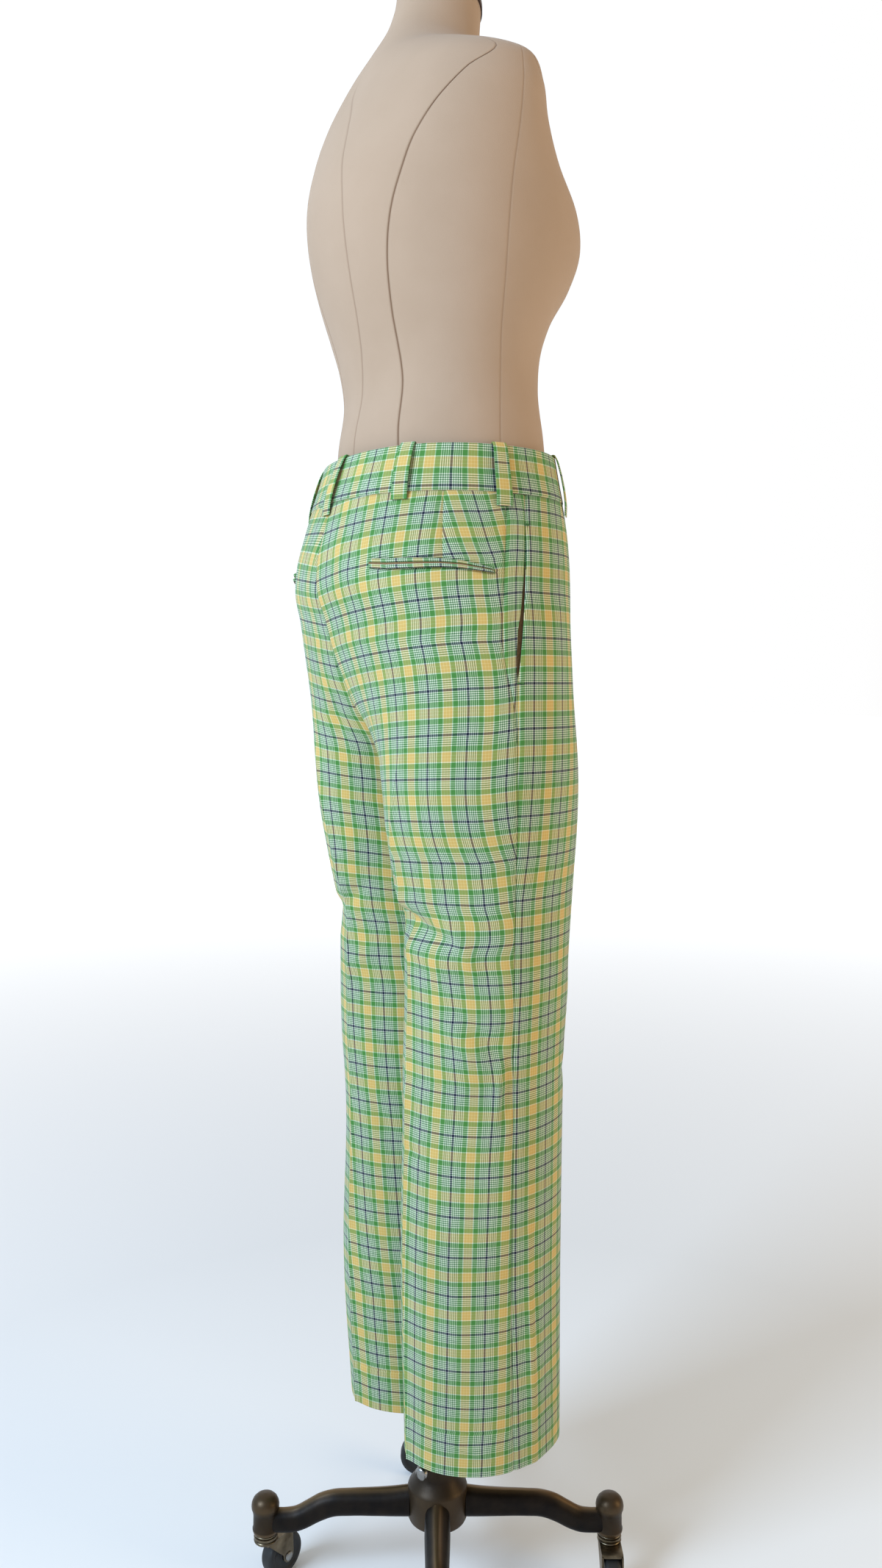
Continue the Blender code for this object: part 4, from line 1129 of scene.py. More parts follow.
def loop_profile(bottom):
    """(z, offset) of a loop's middle line: up behind the band, over its top, and down outside it."""
    inside = BAND_PROUD - BAND_WALL - CLOTH_GAP - LOOP_WALL / 2.0
    outside = BAND_PROUD + CLOTH_GAP + LOOP_WALL / 2.0
    over_top = BAND_TOP_Z + CLOTH_GAP + LOOP_WALL / 2.0
    half = (outside - inside) / 2.0
    turn = np.linspace(np.pi, 0.0, 9)
    arc_z = over_top - LOOP_ARC_SINK + LOOP_ARC_RISE * np.sin(turn)
    arc_out = (inside + outside) / 2.0 + half * np.cos(turn)
    behind_z = np.linspace(LOOP_TOP_Z - LOOP_TAIL, over_top - LOOP_EASE, 5)[:-1]
    front_z = np.linspace(over_top - LOOP_EASE, bottom + LOOP_EASE, 22)[1:]
    share = (over_top - front_z) / (over_top - bottom)
    arch = np.sin(np.pi * np.clip(share * LOOP_ARCH_REACH, 0.0, 1.0))
    stand_off = LOOP_STAND_OFF * arch**LOOP_ARCH_POWER
    front_out = outside + stand_off
    z = np.concatenate([behind_z, arc_z, front_z])
    out = np.concatenate([np.full(len(behind_z), inside), arc_out, front_out])
    return z, out


def add_belt_loops():
    """Seven loops: a flat strip carried along the loop's line, with rounded long edges.

    The one at the centre back has side 0, and is measured just beside the middle plane.
    """
    around = np.array(LOOP_SECTION)
    wide, high = around[None, :, 0], around[None, :, 1] * LOOP_WALL / 2.0
    loops = [(name, middle, side) for side in (-1, 1) for name, middle in zip(LOOP_NAMES, LOOP_Q)]
    loops.append(("centre_back", 1.0, 0))
    for name, middle, side in loops:
        z, out = loop_profile(LOOP_BOTTOMS[name])
        step_z, step_out = np.gradient(z), np.gradient(out)
        length = np.hypot(step_z, step_out)
        run = running(np.hypot(np.diff(z), np.diff(out)))
        thick_z, thick_out = step_out / length, -step_z / length
        half = half_loop(middle if side else LOOP_MEASURED_Q, side or -1)
        centre = middle if side <= 0 else 2.0 - middle
        q_turn = centre + half * wide + 0.0 * z[:, None]
        grid_z = z[:, None] + thick_z[:, None] * high
        grid_out = out[:, None] + thick_out[:, None] * high
        rows, columns = q_turn.shape
        quads = grid_quads(rows, columns, closed_columns=True)
        ends = [np.arange(columns)[::-1], np.arange((rows - 1) * columns, rows * columns)]
        across = LOOP_CENTRE + LOOP_HALF_REPEAT * wide + 0.0 * grid_z
        along = run[:, None] / WEFT_REPEAT + LOOP_PHASES[name] + 0.0 * across
        node = f"belt_loop_{name}" + (f"_{side_name(side)}" if side else "")
        piece = closed_cloth(
            node.replace("belt_loop", "loop_cloth"), ring_points(grid_z, q_turn, grid_out), quads, ends,
            across, along, (node,),
        )


def patch(name, side, z, q, inner, outer, slot, across, along, node, cut):
    """A closed patch that follows the trousers between two offsets, with a thin wall round its rim."""
    z, q, outer, inner = np.broadcast_arrays(z, q, outer, inner)
    rows, columns = z.shape
    count = rows * columns
    points = np.concatenate([
        shell(side, z, q, outer).reshape(-1, 3),
        shell(side, z, q, inner).reshape(-1, 3),
    ])
    top = grid_quads(rows, columns)
    index = np.arange(count).reshape(rows, columns)
    rims = []
    for rim in (index[0, ::-1], index[-1], index[:, 0], index[::-1, -1]):
        rims.append(np.stack([rim[:-1], rim[1:], rim[1:] + count, rim[:-1] + count], axis=1))
    quads = np.vstack([top, top[:, ::-1] + count, *rims])
    across, along = np.broadcast_arrays(across, along)
    if side > 0:
        quads = quads[:, ::-1]
    uv = corner_uv(np.stack([across, across]), np.stack([along, along]), quads)
    piece = make_piece(name, points, quads, slot, "form", (node,) if node else (), uv=uv)


def add_pockets():
    """Double welts of the back pockets, and what shows where the side pockets gape.

    A welt patch is two rolled lips: its height across the mouth is two round humps either side of a
    sunk middle, where a strip of pocketing shows. A side pocket has its plaid facing, which ends
    short of the opening low down, and the tan pocketing behind it.
    """
    share = np.linspace(0.0, 1.0, 91)[None, :]
    q = WELT_Q[0] + (WELT_Q[1] - WELT_Q[0]) * share
    middle, half = welt_lines(q)
    across = np.linspace(-1.0, 1.0, 29)[:, None]
    lips = np.clip(1.0 - ((np.abs(across) - LIP_CENTRE) / LIP_HALF) ** 2, 0.0, 1.0) ** 0.5
    ends = smooth(0.0, LIP_END_SPAN, np.minimum(share, 1.0 - share))
    swell = LIP_END_SHARE + (1.0 - LIP_END_SHARE) * ends
    lip_height = CLOTH_GAP + LIP_BASE + LIP_RISE * lips * swell
    inner = np.linspace(-MOUTH_HALF, MOUTH_HALF, 5)[:, None]
    mouth_floor, mouth_face = (CLOTH_GAP + offset for offset in MOUTH_OFFSETS)
    facing_z = np.linspace(WAIST_SEAM_Z - 0.0004, FACING_END_Z, 110)[:, None]
    seam = column(SEAM_ROWS, SEAM_COLUMNS, "seam", facing_z)
    opening = column(SEAM_ROWS, SEAM_COLUMNS, "opening", facing_z)
    facing_start = opening + table_curve(FACING_START_ROWS, facing_z)
    facing_share = np.linspace(0.0, 1.0, 26)[None, :]
    facing_q = facing_start + (seam - FACING_SEAM_GAP_Q - facing_start) * facing_share
    under_front = smooth(FACING_EDGE_Q, 0.0, facing_q - opening)
    in_mouth = pocket_gape(facing_z)
    at_seam = bell((seam - facing_q) * LEG_ROUND, SEAM_ROLL_WIDTH)
    facing_face = FACING_LEVEL - FACING_UNDER_FRONT * under_front
    facing_face = facing_face - FACING_IN_MOUTH * in_mouth * smooth(FACING_MOUTH_SHARE, 0.0, facing_share)
    facing_face = facing_face - SEAM_ROLL * at_seam
    lining_z = np.linspace(SIDE_POCKET_Z[1], SIDE_POCKET_Z[0] + 0.001, 80)[:, None]
    lining_from = column(SEAM_ROWS, SEAM_COLUMNS, "opening", lining_z) - LINING_UNDER_FRONT_Q
    lining_to = column(SEAM_ROWS, SEAM_COLUMNS, "seam", lining_z) + LINING_PAST_SEAM_Q
    lining_q = lining_from + (lining_to - lining_from) * facing_share
    navy = table_curve(FACING_NAVY_ROWS, facing_z)
    for side in (-1, 1):
        name = side_name(side)
        patch(
            f"back_welts_{name}", side, middle + half * across, q, CLOTH_GAP, lip_height, "plaid_cotton",
            q * LEG_ROUND / WEFT_REPEAT, WELT_STRIPE + WELT_SPREAD * across + 0.0 * q,
            f"back_pocket_welt_{name}", (0.142, 0.0105),
        )
        patch(
            f"pocket_mouth_{name}", side, middle + half * inner, q, mouth_floor, mouth_face,
            "pocketing", q, inner, "", None,
        )
        patch(
            f"side_pocket_facing_cloth_{name}", side, facing_z, facing_q,
            facing_face - FACING_THICKNESS, facing_face, "plaid_cotton",
            (facing_q - navy) * LEG_ROUND / BACK_WARP_REPEAT, weft_repeats(side, facing_z, facing_q),
            "", (0.020, 0.250),
        )
        patch(
            f"side_pocket_lining_{name}", side, lining_z, lining_q, *LINING_OFFSETS, "pocketing",
            lining_q, lining_z, f"side_pocket_facing_{name}", (0.036, 0.152),
        )


def fly_width(z):
    """The fly's width at each height: full above its curve, and narrow at its foot."""
    rise = np.clip((z - FLY_BOTTOM_Z) / FLY_CURVE, 0.0, 1.0)
    curve = np.sqrt(1.0 - (1.0 - rise) ** 2)
    return FLY_WIDTH * (FLY_FOOT_SHARE + (1.0 - FLY_FOOT_SHARE) * curve)


def add_closure():
    """The band's tab, the button on it and the fly's flap."""
    profile = rounded_profile(BAND_TOP_Z - 0.001, WAIST_SEAM_Z + 0.002, TAB_OUTER, TAB_INNER)
    q_turn = np.linspace(-TAB_HALF_ANGLE, TAB_HALF_ANGLE, 41)[None, :]
    z, offset = profile[:, :1], profile[:, 1:]
    across = q_turn * TAB_RADIUS * np.pi / BAND_WARP_REPEAT + TAB_PHASE
    strip(
        "waistband_tab_cloth", z, offset, q_turn, across,
        (BAND_WEFT_Z - z) / BAND_WEFT_REPEAT, ("waistband_tab",),
    )
    z = np.linspace(WAIST_SEAM_Z - 0.001, FLY_BOTTOM_Z, 70)[:, None]
    width = fly_width(z)
    share = np.linspace(0.0, 1.0, 24)[None, :]
    q = width / (np.pi * FLY_HIP_RADIUS) * share + FLY_START_Q
    rim = np.minimum(share, 1.0 - share) * width / 0.003
    outer = CLOTH_GAP + WALL * (0.35 + 0.65 * np.clip(rim, 0.0, 1.0) ** 0.5)
    patch(
        "fly_flap_cloth", 1, z, q, CLOTH_GAP, outer, "plaid_cotton",
        width * share / BACK_WARP_REPEAT, weft_repeats(1, z, q), "fly_flap", (0.042, 0.140),
    )
    add_button()


def add_button():
    """A turned button with a raised rim and a dished face, on the middle of the tab."""
    tab_face = TAB_OUTER + CLOTH_GAP
    start = shell(-1, np.array(BUTTON_Z), np.array(0.0), tab_face)
    end = shell(-1, np.array(BUTTON_Z), np.array(0.0), tab_face + BUTTON_WALL)
    rings = axis_rings(start, end - start, BUTTON_SHOWN, BUTTON_SIDES)
    closed_grid("waist_button_turned", rings, "button", "form", ("waist_button",))


def axis_rings(start, axis, profile, sides):
    """Rings about any axis through (radius, distance) pairs."""
    axis = unit(np.array(axis))
    helper = np.array([0.0, 0.0, 1.0]) if abs(axis[2]) < 0.9 else np.array([1.0, 0.0, 0.0])
    first = unit(np.cross(helper, axis))
    second = np.cross(axis, first)
    angle = 2.0 * np.pi * np.arange(sides)[None, :, None] / sides
    table = np.array(profile)
    radius, along = table[:, 0][:, None, None], table[:, 1][:, None, None]
    return np.array(start) + axis * along + radius * (np.cos(angle) * first + np.sin(angle) * second)


# Dress form: angles of its seams from the front, over the right side, at each height
FORM_ROWS_SHOWN = 200
FORM_SECTOR_COLUMNS = 22
FORM_COLUMN_PULL = 0.82
SEAM_ANGLE_COLUMNS = ("z", "front_princess", "side", "back_princess", "centre_back", "depth")
SEAM_ANGLE_ROWS = (
    (1.0400, 34.0, 93.0, 149.0, 183.0, 1.0),
    (1.2626, 32.0, 93.2, 149.2, 183.0, 1.0),
    (1.3318, 30.0, 90.5, 148.8, 180.2, 1.0),
    (1.4000, 31.0, 94.0, 151.5, 174.5, 1.0),
    (1.4765, 34.0, 96.0, 146.5, 170.6, 1.0),
    (1.5143, 40.0, 95.0, 140.5, 169.4, 1.0),
    (1.5457, 48.0, 93.5, 135.8, 170.6, 1.0),
    (1.5770, 57.0, 92.5, 128.5, 172.4, 1.0),
    (1.6000, 66.0, 92.0, 119.5, 175.0, 0.9),
    (1.6237, 76.0, 91.0, 106.0, 180.0, 0.7),
    (1.6400, 60.0, 90.0, 118.0, 180.0, 0.0),
    (1.6700, 45.0, 90.0, 135.0, 180.0, 0.0),
    (1.7400, 45.0, 90.0, 135.0, 180.0, 0.0),
)
SEAM_GROOVE = 0.0009
SEAM_HALF_WIDTH = 0.0009
SEAM_STRENGTH = {"front_princess": 1.0, "side": 0.35, "back_princess": 1.0, "centre_back": 0.45}


def form_points(z, angle, grow=0.0, lift=0.0):
    """A point of the form: an egg with the height's half width, front and back, leaning with the neck."""
    ring = {name: column(FORM_ROWS, FORM_COLUMNS, name, z) for name in FORM_COLUMNS[1:]}
    full = 1.0 + FORM_FULLNESS * np.sin(2.0 * angle) ** 2
    depth = np.where(np.cos(angle) > 0.0, ring["front"], ring["back"]) + grow
    x = -(ring["half_width"] + grow) * np.sin(angle) * full
    y = ring["centre_y"] - depth * np.cos(angle) * full
    height = z + lift + ring["lean"] * (y - ring["centre_y"])
    return np.stack(np.broadcast_arrays(x, y, height), axis=-1)


def add_form():
    """The form under its jersey: columns run along the seams, and each seam is a narrow groove."""
    fine = np.linspace(FORM_ROWS[0][0], FORM_ROWS[-1][0], 2000)
    half_width = column(FORM_ROWS, FORM_COLUMNS, "half_width", fine)
    run = running(np.hypot(np.diff(fine), np.diff(half_width)))
    z = np.interp(np.linspace(0.0, run[-1], FORM_ROWS_SHOWN), run, fine)[:, None]
    names = SEAM_ANGLE_COLUMNS[1:-1]
    table = {name: column(SEAM_ANGLE_ROWS, SEAM_ANGLE_COLUMNS, name, z) for name in names}
    strength = column(SEAM_ANGLE_ROWS, SEAM_ANGLE_COLUMNS, "depth", z)
    right = [0.0 * z, *(table[name] for name in names)]
    left = [360.0 - table[name] for name in names[-2::-1]]
    seams = [*right, *left, 360.0 + 0.0 * z]
    shares = [SEAM_STRENGTH["centre_back"], *(SEAM_STRENGTH[name] for name in (*names, *names[-2::-1]))]
    even = np.linspace(0.0, 1.0, FORM_SECTOR_COLUMNS + 1)[:-1]
    share = pulled(even, FORM_COLUMN_PULL, 1)[None, :]
    angles = [start + (end - start) * share for start, end in zip(seams[:-1], seams[1:])]
    angle = np.radians(np.hstack(angles))
    plain = form_points(z, angle)
    groove = np.zeros(angle.shape)
    for seam, strong in zip(seams[:-1], shares):
        gap = np.abs(angle - np.radians(seam))
        gap = np.minimum(gap, 2.0 * np.pi - gap)
        radius = np.linalg.norm(plain[..., :2], axis=-1)
        line = strong * strength * bell(gap * radius, SEAM_HALF_WIDTH)
        groove = np.maximum(groove, line)
    grid = form_points(z, angle, grow=-SEAM_GROOVE * groove)
    closed_grid(
        "jersey_form", grid, "ecru_jersey", "form", ("dress_form",), ("seam", groove), angle=80.0
    )


def add_neck_cap():
    """The cap on the neck: a disc with a round edge, slightly proud of the jersey."""
    angle = np.linspace(0.0, 2.0 * np.pi, 121)[None, :-1]
    top = FORM_ROWS[-1][0]
    edge = np.linspace(0.0, np.pi / 2.0, 6)[:, None]
    round_edge = NECK_CAP_ROUND
    lift = CLOTH_GAP + NECK_CAP_WALL - round_edge + round_edge * np.sin(edge)
    grow = NECK_CAP_OVERHANG - round_edge + round_edge * np.cos(edge)
    lift = np.vstack([[[CLOTH_GAP]], [[CLOTH_GAP + 0.0006]], lift, [[lift[-1, 0]]]])
    grow = np.vstack([[[NECK_CAP_OVERHANG - 0.0008]], [[NECK_CAP_OVERHANG]], grow, [[-0.020]]])
    grid = form_points(np.full_like(lift, top), angle, grow, lift)
    closed_grid("neck_cap_turned", grid, "neck_cap", "form", ("neck_cap",))


# Stand: (radius, z) outlines of what is turned, and how brass coloured it is by radius or by height: worn
# brass, and a painted highlight on rims, ridges and knobs
HUB_SIDES = 72
POST_SIDES = 48
WHEEL_SIDES = 56
BOLT_SIDES = 20
PIN_SIDES = 16
POLE_SIDES = 56
SCREW_SIDES = 32
HUB_WEAR_AND_HIGHLIGHT_ROWS = ((0.021, 0.25), (0.024, 0.10), (0.033, 0.20), (0.035, 0.45))
POST_WEAR_AND_HIGHLIGHT_ROWS = (
    (0.064, 0.70), (0.066, 0.90), (0.069, 0.20), (0.090, 0.15), (0.096, 0.55), (0.104, 0.35),
)
HUB_SHOWN = (
    (0.0119, 0.0820), (0.0300, 0.0820), (0.0328, 0.0832), (0.0340, 0.0860), (0.0340, 0.1200),
    (0.0332, 0.1225), (0.0312, 0.1250), (0.0290, 0.1280), (0.0262, 0.1322), (0.0240, 0.1362),
    (0.0228, 0.1410), (0.0222, 0.1450), (0.0220, 0.1500), (0.0220, 0.1622), (0.0228, 0.1630),
    (0.0228, 0.1655), (0.0218, 0.1672), (0.0205, 0.1680), (0.0119, 0.1680), (0.0119, 0.1500),
    (0.0119, 0.1100),
)
LEG_SHOWN_COLUMNS = ("distance", "half_width", "bottom", "top")
LEG_SHOWN_ROWS = (
    (0.0320, 0.0140, 0.0858, 0.1195),
    (0.0500, 0.0142, 0.0862, 0.1170),
    (0.0700, 0.0138, 0.0865, 0.1155),
    (0.1000, 0.0128, 0.0862, 0.1145),
    (0.1200, 0.0122, 0.0845, 0.1132),
    (0.1360, 0.0118, 0.0780, 0.1085),
    (0.1500, 0.0115, 0.0705, 0.1005),
    (0.1630, 0.0112, 0.0660, 0.0935),
    (0.1760, 0.0110, 0.0650, 0.0915),
    (0.1960, 0.0105, 0.0655, 0.0930),
)
LEG_STATIONS = 90
LEG_ROUND_POINTS = 40
LEG_RIDGE = 0.0022
RIDGE_WIDTH = 0.30
RIDGE_WEAR_AND_HIGHLIGHT = 1.15
CORNER_POWER = 0.75
TOP_TAPER = 0.16
POST_SHOWN = (
    (0.0002, 0.0642), (0.0130, 0.0642), (0.0146, 0.0652), (0.0150, 0.0672), (0.0150, 0.0690),
    (0.0142, 0.0702), (0.0140, 0.0850), (0.0146, 0.0892), (0.0157, 0.0922), (0.0160, 0.0955),
    (0.0154, 0.0992), (0.0138, 0.1028), (0.0110, 0.1058), (0.0070, 0.1080), (0.0002, 0.1090),
)
BEARING_SHOWN = (
    (0.0002, 0.0526), (0.0118, 0.0526), (0.0134, 0.0532), (0.0138, 0.0546), (0.0132, 0.0558),
    (0.0120, 0.0563), (0.0120, 0.0572), (0.0134, 0.0577), (0.0138, 0.0590), (0.0134, 0.0602),
    (0.0120, 0.0607), (0.0120, 0.0616), (0.0132, 0.0620), (0.0134, 0.0630), (0.0128, 0.0637),
    (0.0002, 0.0637),
)
WHEEL_SHOWN = (
    (0.0034, -0.0086), (0.0075, -0.0086), (0.0084, -0.0078), (0.0095, -0.0072), (0.0165, -0.0070),
    (0.0180, -0.0078), (0.0192, -0.0088), (0.0215, -0.0090), (0.0236, -0.0080), (0.0247, -0.0062),
    (0.0250, -0.0040), (0.0250, 0.0040), (0.0247, 0.0062), (0.0236, 0.0080), (0.0215, 0.0090),
    (0.0192, 0.0088), (0.0180, 0.0078), (0.0165, 0.0070), (0.0095, 0.0072), (0.0084, 0.0078),
    (0.0075, 0.0086), (0.0034, 0.0086),
)


# (Radius, distance) outlines along their own axes
BOLT_SHOWN = (
    (0.0002, 0.0), (0.0048, 0.0), (0.0052, 0.0004), (0.0052, 0.0010), (0.0046, 0.0016), (0.0002, 0.0019),
)
SCREW_SHOWN = (
    (0.0034, 0.0221), (0.0034, 0.0290), (0.0062, 0.0293), (0.0072, 0.0305), (0.0075, 0.0330),
    (0.0072, 0.0352), (0.0062, 0.0366), (0.0030, 0.0375), (0.0002, 0.0376),
)


def level_direction(yaw):
    """A level unit vector, its yaw counted from +X toward +Y."""
    return np.array([math.cos(yaw), math.sin(yaw), 0.0])


def leg_grid(direction):
    """A cast arm: round-cornered sections with a raised ridge along the top, from hub to post."""
    table = np.array(LEG_SHOWN_ROWS)
    distance = np.linspace(table[0, 0], table[-1, 0], LEG_STATIONS)[:, None]
    half_width, bottom, top = (
        column(LEG_SHOWN_ROWS, LEG_SHOWN_COLUMNS, name, distance) for name in LEG_SHOWN_COLUMNS[1:]
    )
    turn = 2.0 * np.pi * np.arange(LEG_ROUND_POINTS)[None, :] / LEG_ROUND_POINTS
    cos, sin = np.cos(turn), np.sin(turn)
    wide = half_width * np.sign(cos) * np.abs(cos) ** CORNER_POWER * (1.0 - TOP_TAPER * sin)
    on_ridge = bell(cos, RIDGE_WIDTH) * (sin > 0.0)
    half_height = (top - bottom) / 2.0
    high = (half_height - LEG_RIDGE * (sin > 0.0)) * np.sign(sin) * np.abs(sin) ** CORNER_POWER
    high = high + LEG_RIDGE * on_ridge
    across = np.array([-direction[1], direction[0], 0.0])
    up = np.array([0.0, 0.0, 1.0])
    centre = distance[..., None] * direction + ((top + bottom) / 2.0)[..., None] * up
    # The top ridge alone is brass coloured: worn brass, and a painted highlight where light falls on the
    # top.
    wear_and_highlight = np.clip(RIDGE_WEAR_AND_HIGHLIGHT * on_ridge, 0.0, 1.0) + 0.0 * wide
    return centre + wide[..., None] * across + high[..., None] * up, wear_and_highlight


def add_base():
    """The hub, and four arms that each end in a knobbed post."""
    # Brass colour by radius on the hub and by height on each post: worn brass, and a painted highlight on
    # the rims and knobs.
    wear_and_highlight = table_curve(HUB_WEAR_AND_HIGHLIGHT_ROWS, np.array(HUB_SHOWN)[:, 0])
    hub = turned(HUB_SHOWN, HUB_SIDES)
    closed_grid(
        "hub_turned", hub, "dark_iron", "base", ("base_hub",),
        ("wear_and_highlight", np.repeat(wear_and_highlight[:, None], HUB_SIDES, axis=1)), closed_rows=True, angle=40.0,
    )
    for number in range(4):
        direction = level_direction(BASE_YAW + number * math.pi / 2.0)
        grid, ridge_wear_and_highlight = leg_grid(direction)
        closed_grid(
            f"leg_cast_{number}", grid, "dark_iron", "base", (f"base_leg_{number}",), ("wear_and_highlight", ridge_wear_and_highlight)
        )
        post = direction * POST_DISTANCE
        knob_wear_and_highlight = table_curve(POST_WEAR_AND_HIGHLIGHT_ROWS, np.array(POST_SHOWN)[:, 1])
        closed_grid(
            f"post_turned_{number}", turned(POST_SHOWN, POST_SIDES, post[:2]), "dark_iron", "base", (),
            ("wear_and_highlight", np.repeat(knob_wear_and_highlight[:, None], POST_SIDES, axis=1)), angle=40.0,
        )


def plate(name, centre, forward, outline, half_wall, slot, body):
    """A flat plate: its outline, (along, z) pairs, carried across its thickness with eased edges."""
    across = np.array([-forward[1], forward[0], 0.0])
    table = np.array(outline)
    inset = table - (table - table.mean(axis=0)) * 0.06
    layers = ((inset, -1.0), (table, -0.6), (table, 0.6), (inset, 1.0))
    grid = np.stack([
        np.array([centre[0], centre[1], 0.0]) + across * half_wall * share
        + shape[:, :1] * forward + shape[:, 1:] * np.array([0.0, 0.0, 1.0])
        for shape, share in layers
    ])
    closed_grid(name, grid, slot, body, angle=35.0)


def add_caster(number, post, trail):
    """The swivel rings and crown, two cheeks with bolts, and the wheel between them."""
    body = f"fork_{number}"
    across = np.array([-trail[1], trail[0], 0.0])
    axle = post + trail * CASTER_TRAIL + np.array([0.0, 0.0, WHEEL_RADIUS])
    closed_grid(
        f"swivel_rings_{number}", turned(BEARING_SHOWN, POST_SIDES, post[:2]), "nickel", body,
        (f"caster_fork_{number}",), angle=50.0,
    )
    reach = CASTER_TRAIL + CHEEK_HALF_LENGTH
    half_span = WHEEL_HALF_WIDTH + CHEEK_GAP + CHEEK_WALL
    crown_z = (CROWN_BOTTOM_Z - 0.0002, CROWN_BOTTOM_Z + 0.0028)
    crown = ((-0.0085, crown_z[0]), (reach - 0.001, crown_z[0]), (reach - 0.001, crown_z[1] - 0.001),
             (reach - 0.003, crown_z[1]), (-0.0070, crown_z[1]), (-0.0085, crown_z[1] - 0.001))
    plate(f"fork_crown_{number}", post, trail, crown, half_span - 0.0003, "nickel", body)
    bolt = WHEEL_RADIUS
    cheek = (
        (-0.0070, CROWN_BOTTOM_Z + 0.0010), (CASTER_TRAIL - 0.0085, bolt + 0.0045),
        (CASTER_TRAIL - 0.0072, bolt - 0.0025), (CASTER_TRAIL - 0.0035, bolt - 0.0066),
        (CASTER_TRAIL, bolt - 0.0076), (CASTER_TRAIL + 0.0035, bolt - 0.0066),
        (CASTER_TRAIL + 0.0072, bolt - 0.0025), (CASTER_TRAIL + 0.0080, bolt + 0.0045),
        (CASTER_TRAIL + 0.0070, CROWN_BOTTOM_Z + 0.0010),
    )
    cheek_middle = WHEEL_HALF_WIDTH + CHEEK_GAP + CHEEK_WALL / 2.0
    for side in (-1, 1):
        plate(
            f"fork_cheek_{number}_{'a' if side < 0 else 'b'}", post + across * side * cheek_middle,
            trail, cheek, CHEEK_WALL / 2.0, "nickel", body,
        )
        start = axle + across * side * (half_span - 0.0003)
        closed_grid(
            f"axle_bolt_{number}_{'a' if side < 0 else 'b'}",
            axis_rings(start, across * side, BOLT_SHOWN, BOLT_SIDES), "steel", body,
        )
    pin = ((AXLE_RADIUS, -half_span), (AXLE_RADIUS, half_span))
    closed_grid(f"axle_pin_{number}", axis_rings(axle, across, pin, PIN_SIDES), "steel", body)
    closed_grid(
        f"wheel_turned_{number}", axis_rings(axle, across, WHEEL_SHOWN, WHEEL_SIDES), "rubber",
        f"wheel_{number}", (f"caster_wheel_{number}",), closed_rows=True, angle=40.0,
    )


def add_pole_and_screw():
    """The steel pole with its flange under the form, and the screw that locks its height."""
    under_form = FORM_ROWS[0][0] - CLOTH_GAP
    profile = (
        (0.0105, POLE_BOTTOM_Z), (POLE_RADIUS, POLE_BOTTOM_Z + 0.001),
        (POLE_RADIUS, under_form - FLANGE_WALL), (FLANGE_RADIUS - 0.001, under_form - FLANGE_WALL),
        (FLANGE_RADIUS, under_form - FLANGE_WALL + 0.001), (FLANGE_RADIUS, under_form),
    )
    closed_grid("pole_turned", turned(profile, POLE_SIDES), "steel", "pole", ("pole",), angle=40.0)
    direction = level_direction(LOCK_SCREW_YAW)
    start = np.array([0.0, 0.0, LOCK_SCREW_Z])
    rings = axis_rings(start, direction, SCREW_SHOWN, SCREW_SIDES)
    closed_grid("lock_screw_turned", rings, "steel", "base", ("height_lock_screw",))


# Camera, light and floor
LENS = 27.85
SENSOR = 36.0
CAMERA_DISTANCE = 1.32
CAMERA_ASIDE = 0.004
CAMERA_HEIGHT = 1.03458
CAMERA_PITCH = math.radians(4.729)
VIEW_YAW = math.radians(150.0)

# Far from the part the floor glows a little, so that it meets the surround without a line
GLOW_FROM = 0.9
GLOW_TO = 4.5
GLOW_STRENGTH = 0.62
# The surround is dimmer behind the camera than behind the part, so that the key light shapes the folds
DIM_FROM = 0.0
DIM_TO = 0.7
DIM_STRENGTH = 0.55
# The surround's tint from the photo's left, 0, to its right, 1
SURROUND_TINTS = (
    (0.00, (0.98, 1.26, 1.52)),
    (0.32, (1.02, 1.07, 1.12)),
    (0.66, (1.00, 1.00, 1.00)),
    (0.76, (0.66, 0.54, 0.43)),
    (1.00, (0.46, 0.36, 0.28)),
)


# Soft panels of light: their places back to the camera, to its right and up from the floor
LIGHT_COLUMNS = ("name", "back", "right", "up", "size", "power", "tint")
LIGHT_ROWS = (
    ("cool_key", 1.6, -2.0, 2.2, (1.1, 1.3), 76.0, (0.82, 1.06, 1.36)),
    ("warm_fill", 0.6, 2.4, 1.3, (1.2, 1.8), 27.0, (1.0, 0.78, 0.46)),
)
LIGHT_TARGET = (0.0, 0.0, 0.95)
FLOOR_HALF = 30.0


def view_directions():
    """Level unit vectors of the photo's view: back to the camera, and to its right."""
    back = level_direction(VIEW_YAW)
    return back, np.array([-back[1], back[0], 0.0])


def add_camera():
    """The camera at the photo's place, tilted slightly down."""
    back, right = view_directions()
    up = np.array([0.0, 0.0, 1.0])
    looking = -back * math.cos(CAMERA_PITCH) - up * math.sin(CAMERA_PITCH)
    camera_up = np.cross(right, looking)
    place = back * CAMERA_DISTANCE + right * CAMERA_ASIDE + up * CAMERA_HEIGHT
    data = bpy.data.cameras.new("photo_camera")
    data.lens = LENS
    data.sensor_width = SENSOR
    camera = bpy.data.objects.new("photo_camera", data)
    turn = Matrix((right, camera_up, -looking)).transposed()
    camera.matrix_world = Matrix.Translation(Vector(place)) @ turn.to_4x4()
    bpy.context.scene.collection.objects.link(camera)
    bpy.context.scene.camera = camera


def add_area_light(name, place, target, size, power, tint):
    """A soft panel of light at a place, turned to face a target."""
    data = bpy.data.lights.new(name, "AREA")
    data.shape = "RECTANGLE"
    data.size, data.size_y = size
    data.energy = power
    data.color = tint
    light = bpy.data.objects.new(name, data)
    aim = Vector(target) - Vector(place)
    turn = aim.to_track_quat("-Z", "Y").to_matrix()
    light.matrix_world = Matrix.Translation(Vector(place)) @ turn.to_4x4()
    bpy.context.scene.collection.objects.link(light)


